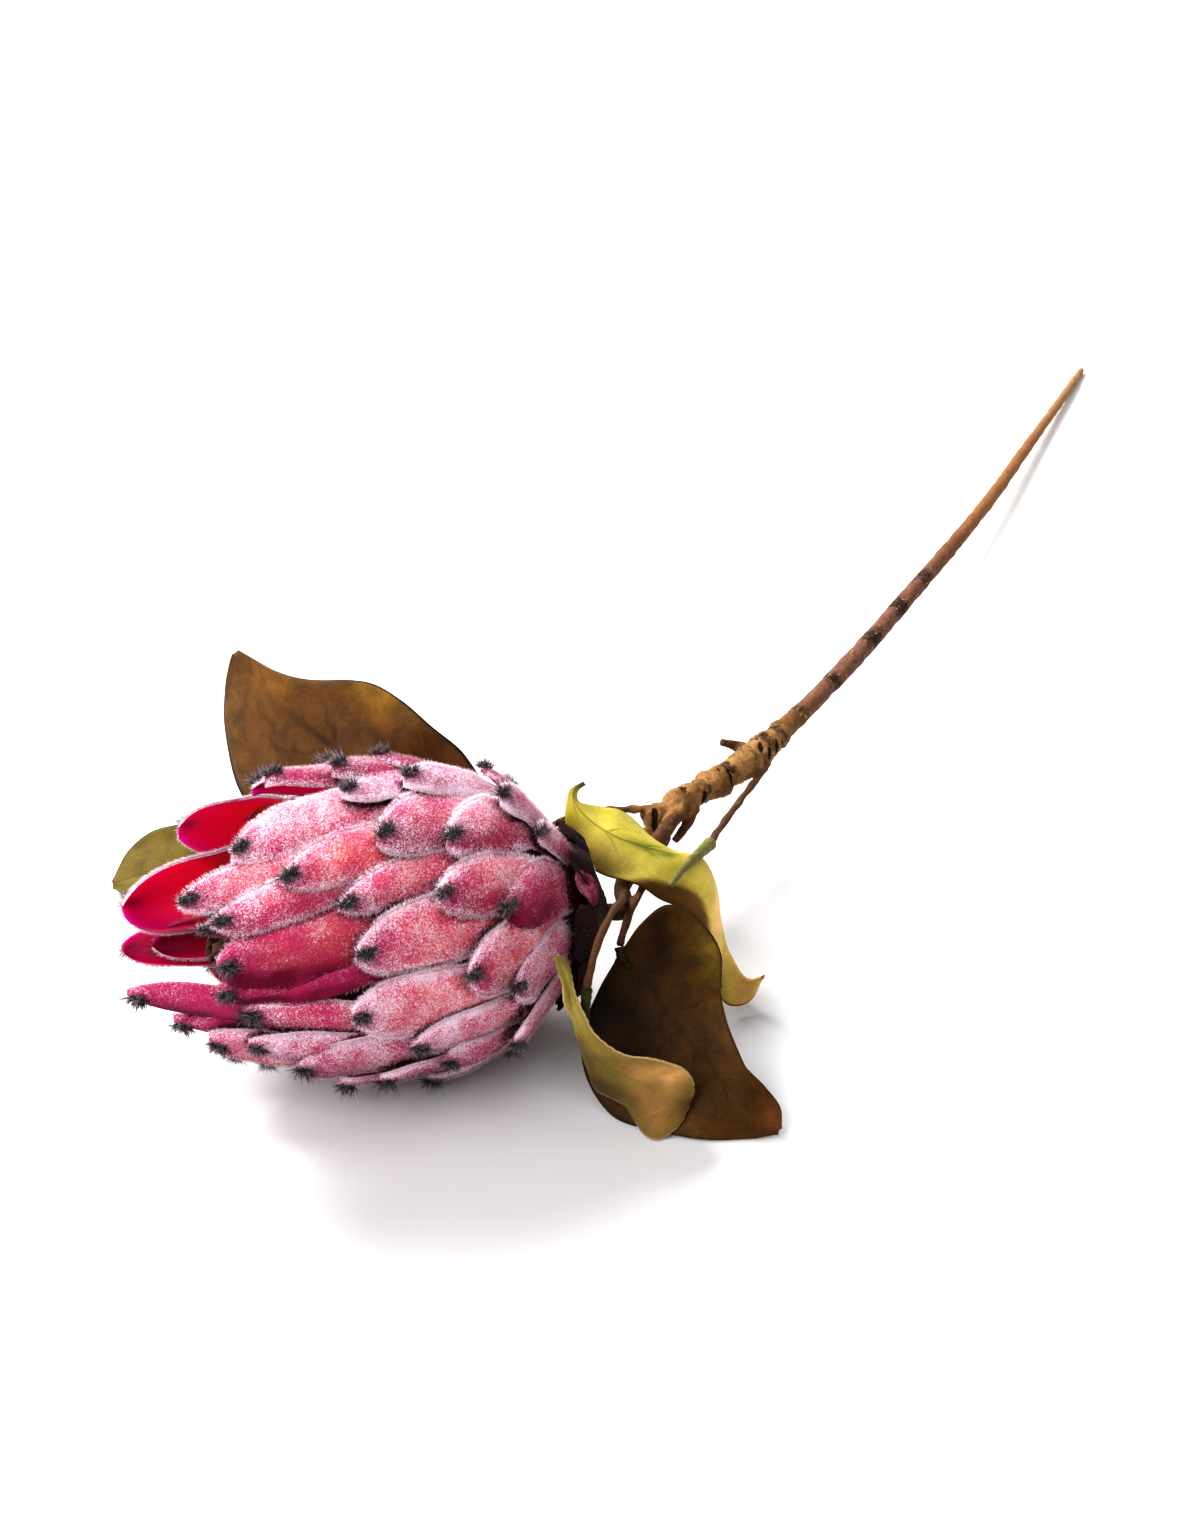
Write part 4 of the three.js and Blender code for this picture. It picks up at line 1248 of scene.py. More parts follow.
    def build_bracts(self, plush: bpy.types.Material, satin: bpy.types.Material) -> bpy.types.Object:
        """All bracts as one piece, outer faces plush and inner faces satin.

        Args:
            plush: Material of the outer faces.
            satin: Material of the inner faces.

        Returns:
            The piece's object.
        """
        parts = Assembly()
        drafts = []
        for number, bract in enumerate(self.bracts):
            form = plate_form(self.columns, self.rows)
            for face in form.faces:
                under = sum(vert.co.z for vert in face.verts) / len(face.verts) < -0.6
                face.material_index = Side.INNER.value if under else Side.OUTER.value
            flat = coordinates(form)
            across = flat[:, 0]
            along = 1 - ((1 - flat[:, 1]) / 2) ** self.tip_crowding
            depth = self.depth(bract, across, along) * -flat[:, 2]
            places = self.surface(bract, number, across, along, depth)
            shape(form, places)
            ways = np.array([vert.normal for vert in form.verts])
            faces = [[vert.index for vert in face.verts] for face in form.faces]
            drafts.append((bract, form, across, along, places, ways, faces, flat[:, 2] < -0.5))
        starts = np.cumsum([0, *(len(draft[4]) for draft in drafts)])
        tree = BVHTree.FromPolygons(
            [Vector(point) for draft in drafts for point in draft[4]],
            [[i + start for i in face] for draft, start in zip(drafts, starts) for face in draft[6]])
        for bract, form, across, along, places, ways, _, under in drafts:
            hidden = np.zeros(len(places))
            hidden[~under] = self.hidden_share(tree, places[~under], ways[~under])
            outer, frost = self.outer_tint(bract, across, along, places, hidden, ways)
            inner = self.inner_tint(bract, across, along, places)
            parts.add(form, tint=np.where(under[:, None], inner, outer), frost=frost,
                      across_along=np.stack((across, along), axis=1))
        return parts.piece("bloom_bracts", [plush, satin])

    def build_tufts(self, finish: bpy.types.Material) -> bpy.types.Object:
        """A burst of dark bent hairs just inside each bract's tip.

        Args:
            finish: The hairs' material.

        Returns:
            The piece's object.
        """
        draw = np.random.default_rng(17)
        roots, ways, bends, lengths = [], [], [], []
        for number, bract in enumerate(self.bracts):
            count = self.tuft_hairs
            spread = draw.uniform(0, 2 * math.pi, count)
            out = np.sqrt(draw.uniform(0, 1, count))
            along = np.clip(self.tuft_along + 2.2 * out * np.cos(spread) / bract.length, 0.8, 0.999)
            across = np.clip(4.6 * out * np.sin(spread) / bract.width, -0.9, 0.9)
            place = self.surface(bract, number, across, along, np.zeros(count))
            centre, ahead, inner = self.surface(
                bract, number, np.zeros(3), np.array((self.tuft_along, 0.999, self.tuft_along)),
                np.array((0.0, 0.0, 1.0)))
            pole = unit(unit(centre - inner) + 0.35 * unit(ahead - centre))
            fan = unit(draw.normal(size=(count, 3)))
            fan += pole * (0.9 * np.maximum(0.0, -fan @ pole) * 2)[:, None]
            way = unit(pole * 0.45 + fan)
            roots.append(place)
            ways.append(way)
            size = self.tuft_length * draw.uniform(0.55, 1.15, count) * (0.85 + 0.3 * draw.uniform())
            lengths.append(size)
            bends.append((draw.normal(size=(count, 3)) * 0.35 - pole * 0.3) * size[:, None] * 0.5)
        shade = draw.beta(1.3, 2.4, sum(len(row) for row in roots))
        return stamp_hairs(
            "bloom_tufts", spike_form(1), np.concatenate(roots), np.concatenate(ways),
            np.concatenate(lengths), self.tuft_thickness, np.concatenate(bends), {"shade": shade}, finish)

    def build_fuzz(self, bracts: bpy.types.Object, finish: bpy.types.Material) -> list[bpy.types.Object]:
        """The coat of short pale hairs, on every open part of the bracts' outer faces.

        Args:
            bracts: The bracts' piece, which tells where a face is covered.
            finish: The hairs' material.

        Returns:
            The pieces that hold the hairs.
        """
        draw = np.random.default_rng(23)
        mesh = bracts.data
        tree = BVHTree.FromPolygons([v.co for v in mesh.vertices], [tuple(p.vertices) for p in mesh.polygons])
        share = np.array([b.width * b.length for b in self.bracts])
        share = share / share.sum()
        roots, ways, tints = [], [], []
        for number, bract in enumerate(self.bracts):
            count = int(self.fuzz_draws * self.fuzz_count * share[number])
            on_rim = draw.uniform(size=count) < self.fuzz_on_rim
            across = draw.uniform(-1, 1, count)
            across = np.where(on_rim, np.sign(across) * draw.uniform(0.93, 1.0, count), across)
            along = 1 - 0.92 * draw.uniform(0, 1, count) ** 1.1
            keep = draw.uniform(size=count) < np.maximum(self.half_width(along), 0.3)
            across, along = across[keep], along[keep]
            zero = np.zeros(len(across))
            place = self.surface(bract, number, across, along, zero)
            ahead = self.surface(bract, number, across, np.minimum(along + 0.01, 1.0), zero) - place
            aside = self.surface(bract, number, across + 0.02, along, zero) - place
            outward = unit(np.cross(aside, ahead))
            outward *= np.sign(np.sum(outward * (place - self.surface(
                bract, number, across, along, zero + 0.5)), axis=1))[:, None]
            comb = unit(ahead) * 0.55 + unit(aside) * (across * 0.9 * np.abs(across))[:, None]
            way = unit(outward * 0.8 + comb + 0.38 * draw.normal(size=place.shape))
            clear = [tree.ray_cast(Vector((p + w * 0.4 + ORIGIN_SHIFT) * MM), Vector(w),
                                   self.fuzz_clearance * MM)[0] is None for p, w in zip(place, outward)]
            # The hairs take the bracts' colour, the painted shade on faces that look down included
            tint, frost = self.outer_tint(bract, across, along, place, zero, outward)
            thick = draw.uniform(size=len(place)) < 0.08 + 1.45 * frost
            chosen = np.array(clear) & thick
            paleness = (0.32 + 1.1 * np.maximum(frost, 0)) * draw.uniform(0.5, 1.15, len(place))
            roots.append(place[chosen])
            ways.append(way[chosen])
            tints.append(mix(tint, self.hair_colour, paleness)[chosen])
        root, way, tint = np.concatenate(roots), np.concatenate(ways), np.concatenate(tints)
        order = draw.permutation(len(root))[:self.fuzz_count]
        log.info("coat of hairs: %d open places, %d used", len(root), len(order))
        pieces = []
        for k, chosen in enumerate(np.array_split(order, self.fuzz_pieces)):
            lengths = self.fuzz_length * draw.uniform(0.55, 1.25, len(chosen))
            pieces.append(stamp_hairs(
                f"bloom_fuzz_{k + 1}", spike_form(0), root[chosen], way[chosen], lengths,
                self.fuzz_thickness, np.zeros((len(chosen), 3)), {"tint": tint[chosen]}, finish))
        return pieces

    def build(self) -> list[bpy.types.Object]:
        """Builds and dresses the whole bloom.

        Returns:
            The bloom's pieces.
        """
        # The core's near-black finish is painted shade for the gaps between the bracts
        core = self.build_core(DryFinish("bloom_core_shade", linear(20, 4, 8)).make())
        bracts = self.build_bracts(PlushFinish().make(), SatinFinish().make())
        tufts = self.build_tufts(HairFinish("tuft_hair", linear(34, 28, 32), linear(176, 164, 168)).make())
        hair = DownFinish().make()
        pieces = [core, bracts, tufts, *self.build_fuzz(bracts, hair)]
        for piece in pieces:
            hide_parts("bloom")
        return pieces


@dataclass
class MouthFlorets:
    """Brown crinkled florets that stand in the mouth of the head."""

    head: HeadFrame
    floor: float = 96.3
    count: int = 52
    inner: float = 2.0
    outer: float = 17.0
    height: float = 15.0
    width: float = 4.6
    thickness: float = 0.5
    turn: float = 137.5
    disc_tint: Colour = linear(52, 30, 20)
    tint: Colour = linear(58, 34, 24)
    root_tint: Colour = linear(30, 14, 10)
    end_tint: Colour = linear(120, 78, 56)

    def build(self) -> bpy.types.Object:
        """Builds and dresses the florets.

        Returns:
            The piece's object.
        """
        draw = np.random.default_rng(31)
        parts = Assembly()
        disc = self.head.turned([(self.floor, 0), (self.floor, 14), (self.floor + 5, 10),
                                 (self.floor + 6, 0)], 20)
        parts.add(disc, tint=even(self.disc_tint, len(disc.verts)))
        for k in range(self.count):
            form = plate_form(4, 14)
            across, along, through = shares(form)
            ring = self.inner + (self.outer - self.inner) * math.sqrt((k + 0.5) / self.count)
            angle = self.turn * k
            height = self.height * draw.uniform(0.7, 1.12)
            curl = draw.uniform(1.0, 2.2)
            width = self.width / 2 * (1 - 0.5 * along) * (1 + 0.25 * np.sin(9 * along + k))
            radius = ring + draw.uniform(-0.5, 3.0) * along**2 - self.thickness * through
            radius = radius - curl * across**2 + 0.9 * np.sin(11 * along + 3 * across + k) * along
            sway = draw.uniform(-22, 22) * along + np.degrees(width * across / max(ring, 5.0))
            tint = paint(even(self.tint, len(along)),
                         (self.root_tint, 0.8 * ramp(0.6 - along, 0.0, 0.5)),
                         (self.end_tint, 0.4 * ramp(along, 0.85, 1.0)))
            parts.add(form, self.head.place(self.floor + 1 + height * along, angle + sway, radius), tint=tint)
        piece = parts.piece("florets", [DryFinish("floret_dry", linear(36, 18, 12)).make()])
        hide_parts("inner_florets")
        return piece


@dataclass
class BaseScales:
    """Dark, dry, ragged scales that clasp the underside of the head."""

    head: HeadFrame
    line: tuple[tuple[float, float], ...] = (
        (-7, 8), (-3, 18.5), (0, 27), (4, 29.3), (8, 31.7), (11, 34.9))
    cup: tuple[tuple[float, float], ...] = ((-9, 5.5), (-6, 12), (-2.5, 19), (-0.3, 23))
    count: int = 19
    root: float = -8.5
    tip: float = 6.5
    tip_scatter: float = 2.5
    width: float = 8.6
    inset: float = 0.4
    thickness: float = 0.9
    cup_tint: Colour = linear(58, 34, 30)
    dark: Colour = linear(26, 12, 12)
    brown: Colour = linear(58, 26, 24)
    edge_tint: Colour = linear(92, 52, 42)
    # Number and colours of the one scale that is pink
    pink: int = 18
    pink_tint: Colour = linear(150, 40, 78)
    pink_fuzz: Colour = linear(214, 150, 170)

    def build(self) -> bpy.types.Object:
        """Builds and dresses the scales.

        Returns:
            The piece's object.
        """
        draw = np.random.default_rng(41)
        parts = Assembly()
        cup = self.head.turned([(-9, 0), *self.cup, (-0.3, 0)], 36)
        parts.add(cup, tint=even(self.cup_tint, len(cup.verts)))
        stations, radii = zip(*self.line)
        for k in range(self.count):
            form = plate_form(10, 14)
            across, along, through = shares(form)
            tip = self.tip + draw.uniform(-self.tip_scatter, self.tip_scatter)
            angle = 360 * k / self.count + draw.uniform(-7, 7)
            station = self.root + (tip - self.root) * along
            radius = np.interp(station, stations, radii)
            ragged = 1 + 0.16 * np.sin(9 * along + 5 * k) + 0.1 * np.sin(23 * along + k)
            width = self.width * np.sqrt(np.maximum(1 - along**4, 0.05)) * ragged * (0.6 + 0.4 * along)
            lift = 0.5 * along**3 * draw.uniform(-1.0, 1.2) + 0.5 * (k % 2) - 0.9
            warp = 0.6 * np.sin(4 * across + 6 * along + k) * along - 0.8 * across**2
            places = self.head.place(
                station, angle + np.degrees(width * across / np.maximum(radius, 14)),
                radius - self.inset + lift + warp - self.thickness * through)
            edge = np.abs(across)
            tint = paint(even(self.dark, len(along)),
                         (self.brown, np.full(len(along), 0.8 * draw.uniform())),
                         (self.edge_tint, 0.35 * ramp(edge, 0.85, 1.0)))
            if k == self.pink:
                tint = paint(tint, (self.pink_tint, 0.95 * ramp(1 - edge, 0.0, 0.2)),
                             (self.pink_fuzz, 0.6 * ramp(drift(places, 1.6, 43), -0.2, 0.9)))
            parts.add(form, places, tint=tint)
        piece = parts.piece("base_scales", [DryFinish("scale_dry", linear(22, 12, 12)).make()])
        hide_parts("base_bracts")
        return piece


# The stem

@dataclass
class WoodyStem:
    """Neck, knobbly fork, long stem and leaf stalks, grown together under one bark."""

    head: HeadFrame
    stalks: tuple[Line, ...]
    run: Line = (
        (-171, -37, 37), (-163, -41, 37), (-151, -43.5, 36), (-139, -45.5, 34.5), (-123, -48, 32.5),
        (-106, -48.5, 30), (-86, -47.5, 27), (-62, -47, 24), (-16, -45.5, 20), (43, -42.5, 16),
        (94, -40, 13), (150, -36.5, 10), (227, -29, 6), (273, -25, 4), (322, -20, 1.7),
    )
    radii: tuple[tuple[float, float], ...] = (
        (0, 3.4), (0.03, 4.8), (0.07, 5.1), (0.11, 5.3), (0.145, 5.2), (0.175, 4), (0.23, 3.6),
        (0.32, 3.7), (0.44, 3.5), (0.66, 3), (0.81, 2.5), (0.97, 2.05), (1, 1.5),
    )
    neck: Line = (
        (-211, -50.5, 40), (-201, -48.5, 40), (-186, -47, 38), (-160, -45, 37))
    stubs: tuple[Line, ...] = (
        ((-163, -43, 37), (-170, -40, 34), (-175, -37, 29)),
        ((-156, -47, 36), (-162, -48, 33), (-167, -46, 28)),
        ((-108, -48, 30), (-114, -42, 34.5), (-118, -38, 37)),
        ((-135, -46, 34), (-138, -45.5, 38), (-139, -45, 40)),
    )
    knob_end: float = 0.165
    collar: float = -9.3
    neck_radius: float = 2.7
    stalk_radius: float = 1.3
    voxel: float = 0.6
    run_points: int = 240
    stalk_points: int = 40
    # Points along the run, and how many vertices are set against them at a time
    measure_points: int = 600
    batch: int = 4000
    # Heights of the bark's relief
    lump: float = 0.4
    small_lump: float = 0.15
    ring: float = 0.16
    grain: float = 0.14
    pit: float = 1.1
    # Colours from the fork to the cut end, and of the stalks
    neck_tint: Colour = linear(122, 84, 50)
    fork_tint: Colour = linear(156, 118, 74)
    fork_shade: Colour = linear(104, 68, 40)
    upper_tint: Colour = linear(128, 90, 74)
    lower_tint: Colour = linear(150, 106, 70)
    end_tint: Colour = linear(164, 128, 92)
    stalk_tint: Colour = linear(92, 64, 46)
    # Dark rings, as shares of the run
    bands: tuple[float, ...] = (0.052, 0.083, 0.108, 0.136, 0.158, 0.2, 0.262, 0.345, 0.405, 0.47)

    def join(self) -> bpy.types.Mesh:
        """All rods grown into one closed skin.

        Returns:
            The skin, in millimetres.
        """
        parts = Assembly()
        path = curve_through(self.run, self.run_points)
        share = np.linspace(0, 1, self.run_points)
        knots, radii = zip(*self.radii)
        size = np.interp(share, knots, radii)
        rough = np.where(share < self.knob_end, 1.0, 0.12)
        size = size + rough * 0.35 * np.sin(share * 190 + 1) + rough * 0.1 * np.sin(share * 611 + 1)
        parts.add(rod_form(path, size, 20))
        count = self.stalk_points
        start = [self.head.place(np.array(s), np.array(0.0), np.array(0.0)) for s in
                 (self.collar, self.collar - 7)]
        parts.add(rod_form(curve_through([*start, *self.neck], count), np.full(count, self.neck_radius), 14))
        for number, stalk in enumerate(self.stalks):
            thick = self.stalk_radius * (1 + 0.08 * np.sin(np.arange(count) * 0.9 + number))
            parts.add(rod_form(curve_through(stalk, count), thick, 12))
        for stub in self.stubs:
            parts.add(rod_form(curve_through(stub, 12), np.linspace(2.5, 1.3, 12), 12))
        mesh = bpy.data.meshes.new("stem_rods")
        parts.form.to_mesh(mesh)
        parts.form.free()
        rods = bpy.data.objects.new("stem_rods", mesh)
        bpy.context.scene.collection.objects.link(rods)
        remesh = rods.modifiers.new("skin", "REMESH")
        remesh.mode = "VOXEL"
        remesh.voxel_size = self.voxel
        smooth = rods.modifiers.new("soften", "SMOOTH")
        smooth.iterations = 3
        done = rods.evaluated_get(bpy.context.evaluated_depsgraph_get())
        skin = bpy.data.meshes.new_from_object(done)
        bpy.data.objects.remove(rods)
        return skin

    def build(self) -> bpy.types.Object:
        """Builds and dresses the stem.

        Returns:
            The piece's object.
        """
        mesh = self.join()
        count = len(mesh.vertices)
        points, normals = read_rows(mesh, "co"), read_rows(mesh, "normal")
        path = curve_through(self.run, self.measure_points)
        gap, near = np.zeros(count), np.zeros(count)
        for start in range(0, count, self.batch):
            rows = slice(start, start + self.batch)
            away = np.linalg.norm(points[rows, None] - path[None], axis=2)
            near[rows] = away.argmin(axis=1) / (self.measure_points - 1)
            gap[rows] = away.min(axis=1)
        on_run = ramp(7.5 - gap, 0.0, 1.5)
        fork = on_run * ramp(0.2 - near, 0.0, 0.04)
        pits = ramp(drift(points, 3.4, 51), 0.75, 1.2) * fork
        lumps = self.lump * drift(points, 6.0, 52) * fork + self.small_lump * drift(points, 2.0, 53) * fork
        rings = self.ring * np.sin(near * 420 + 3 * drift(points, 7, 54)) * fork
        bark = self.grain * drift(points * np.array((0.5, 1, 1)), 2.6, 55)
        points += normals * (lumps + rings + bark - self.pit * pits)[:, None]
        mesh.vertices.foreach_set("co", points.astype(np.float32).ravel())

        tint = paint(
            even(self.neck_tint, count),
            (self.fork_tint, on_run * ramp(0.2 - near, 0.0, 0.06)),
            (self.fork_shade, 0.7 * fork * ramp(drift(points, 6.0, 56), 0.1, 0.9)),
            (self.upper_tint, on_run * ramp(near, 0.17, 0.25) * ramp(0.56 - near, 0, 0.1)),
            (self.lower_tint, on_run * ramp(near, 0.5, 0.66)),
            (self.end_tint, on_run * ramp(near, 0.75, 0.95)),
            (self.stalk_tint, (1 - on_run) * 0.8))
        band = sum(np.exp(-((near - centre) / (0.004 + 0.02 * centre)) ** 2) for centre in self.bands)
        age = 0.8 * pits + 0.3 * on_run * band
        age += 0.14 * on_run * ramp(near, 0.2, 0.3) * ramp(0.52 - near, 0, 0.1) - 0.12 * ramp(near, 0.6, 0.8)
        place_mesh(mesh)
        keep_values(mesh, {"tint": tint, "age": age})
        mesh.materials.clear()
        piece = make_piece("woody_stem", mesh, [BarkFinish().make()])
        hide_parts("stem")
        return piece


# The leaves

@dataclass(frozen=True)
class Patch:
    """Blot of colour on both faces of a leaf, at shares across and along it."""

    across: float
    along: float
    width: float
    length: float
    colour: Colour
    share: float = 0.8
    sharp: float = 1.0


@dataclass
class Leaf:
    """One cloth-like leaf: a curved blade between its two margins, and the sleeve on its stalk.

    near and far are the two margins, rib the middle between them, all from the root to the tip.
    """

    name: str
    rib: Line
    near: Line
    far: Line
    stalk: Line
    sleeve: Line
    face: Colour
    finish: LeafFinish
    patches: tuple[Patch, ...] = ()
    sleeve_tint: Colour = linear(92, 94, 44)
    sleeve_radius: float = 1.75
    sleeve_end: float = 0.95
    sleeve_points: int = 24
    line_points: int = 240
    rows: int = 84
    columns: int = 30
    thickness: float = 0.6
    wave: float = 0.5
    cockle: float = 0.35
    vein_depth: float = 0.14
    fray: float = 0.35
    frayed: bool = False

    def blade(self, across: Array, along: Array) -> Array:
        """Points of the blade's middle layer at shares across (-1 to 1) and along (0 to 1).

        Args:
            across: Shares across it.
            along: Shares along it, 0 at the root.

        Returns:
            One point for each share.
        """
        lines = [curve_through(line, self.line_points) for line in (self.near, self.rib, self.far)]
        spots = np.linspace(0, 1, self.line_points)
        near, rib, far = (
            np.stack([np.interp(along, spots, line[:, k]) for k in range(3)], axis=1) for line in lines)
        t = across[:, None]
        return rib * (1 - t * t) + near * (t * t - t) / 2 + far * (t * t + t) / 2

    def tint(self, across: Array, along: Array, points: Array) -> Array:
        """Colour of the blade at shares across and along it.

        Args:
            across: Shares across it.
            along: Shares along it.
            points: Its points, in millimetres.

        Returns:
            One colour for each point.
        """
        tint = even(self.face, len(points))
        cloud = drift(points, 9.0, 61)
        for patch in self.patches:
            away = ((across - patch.across) / patch.width) ** 2 + ((along - patch.along) / patch.length) ** 2
            share = patch.share * np.exp(-away**patch.sharp) * (1 + 0.35 * cloud / patch.sharp)
            tint = mix(tint, patch.colour, share)
        return tint

    def build(self) -> bpy.types.Object:
        """Builds and dresses the leaf.

        Returns:
            The piece's object.
        """
        form = plate_form(self.columns, self.rows)
        across, along, through = shares(form)
        middle = self.blade(across, along)
        step = 0.004
        ahead = (self.blade(across, np.minimum(along + step, 1))
                 - self.blade(across, np.maximum(along - step, 0)))
        aside = self.blade(across + step, along) - self.blade(across - step, along)
        normal = unit(np.cross(aside, ahead))
        seed = len(self.name) * 7
        wave = self.wave * np.sin(along * 17 + seed + 2 * np.sign(across)) * np.abs(across) ** 3
        cockle = drift(np.stack((across * 2, along * 6), axis=1), 1.4, seed)
        wave = wave + self.cockle * cockle * (1 - along**6)
        veins = self.vein_depth * np.exp(-(across / 0.05) ** 2)
        depth = self.thickness * (through - 0.5)
        places = middle + normal * (wave * ramp(along, 0.0, 0.12) - veins - depth)[:, None]
        if self.frayed:
            fray = self.fray * np.sin(along * 260) * np.sin(along * 97 + 1)
            places += unit(aside) * (fray * np.sign(across) * (np.abs(across) > 0.995))[:, None]
        parts = Assembly()
        parts.add(form, places, tint=self.tint(across, along, places),
                  across_along=np.stack((across, along), axis=1))
        rings = self.sleeve_points
        radii = np.linspace(self.sleeve_radius, self.sleeve_end, rings)
        radii = radii + 0.12 * np.sin(np.arange(rings) * 1.7)
        sleeve = rod_form(curve_through(self.sleeve, rings), radii, 14)
        count = len(sleeve.verts)
        parts.add(sleeve, tint=even(self.sleeve_tint, count), across_along=np.full((count, 2), 0.5))
        piece = parts.piece(self.name + "_cloth", [self.finish.make()])
        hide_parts(self.name)
        return piece


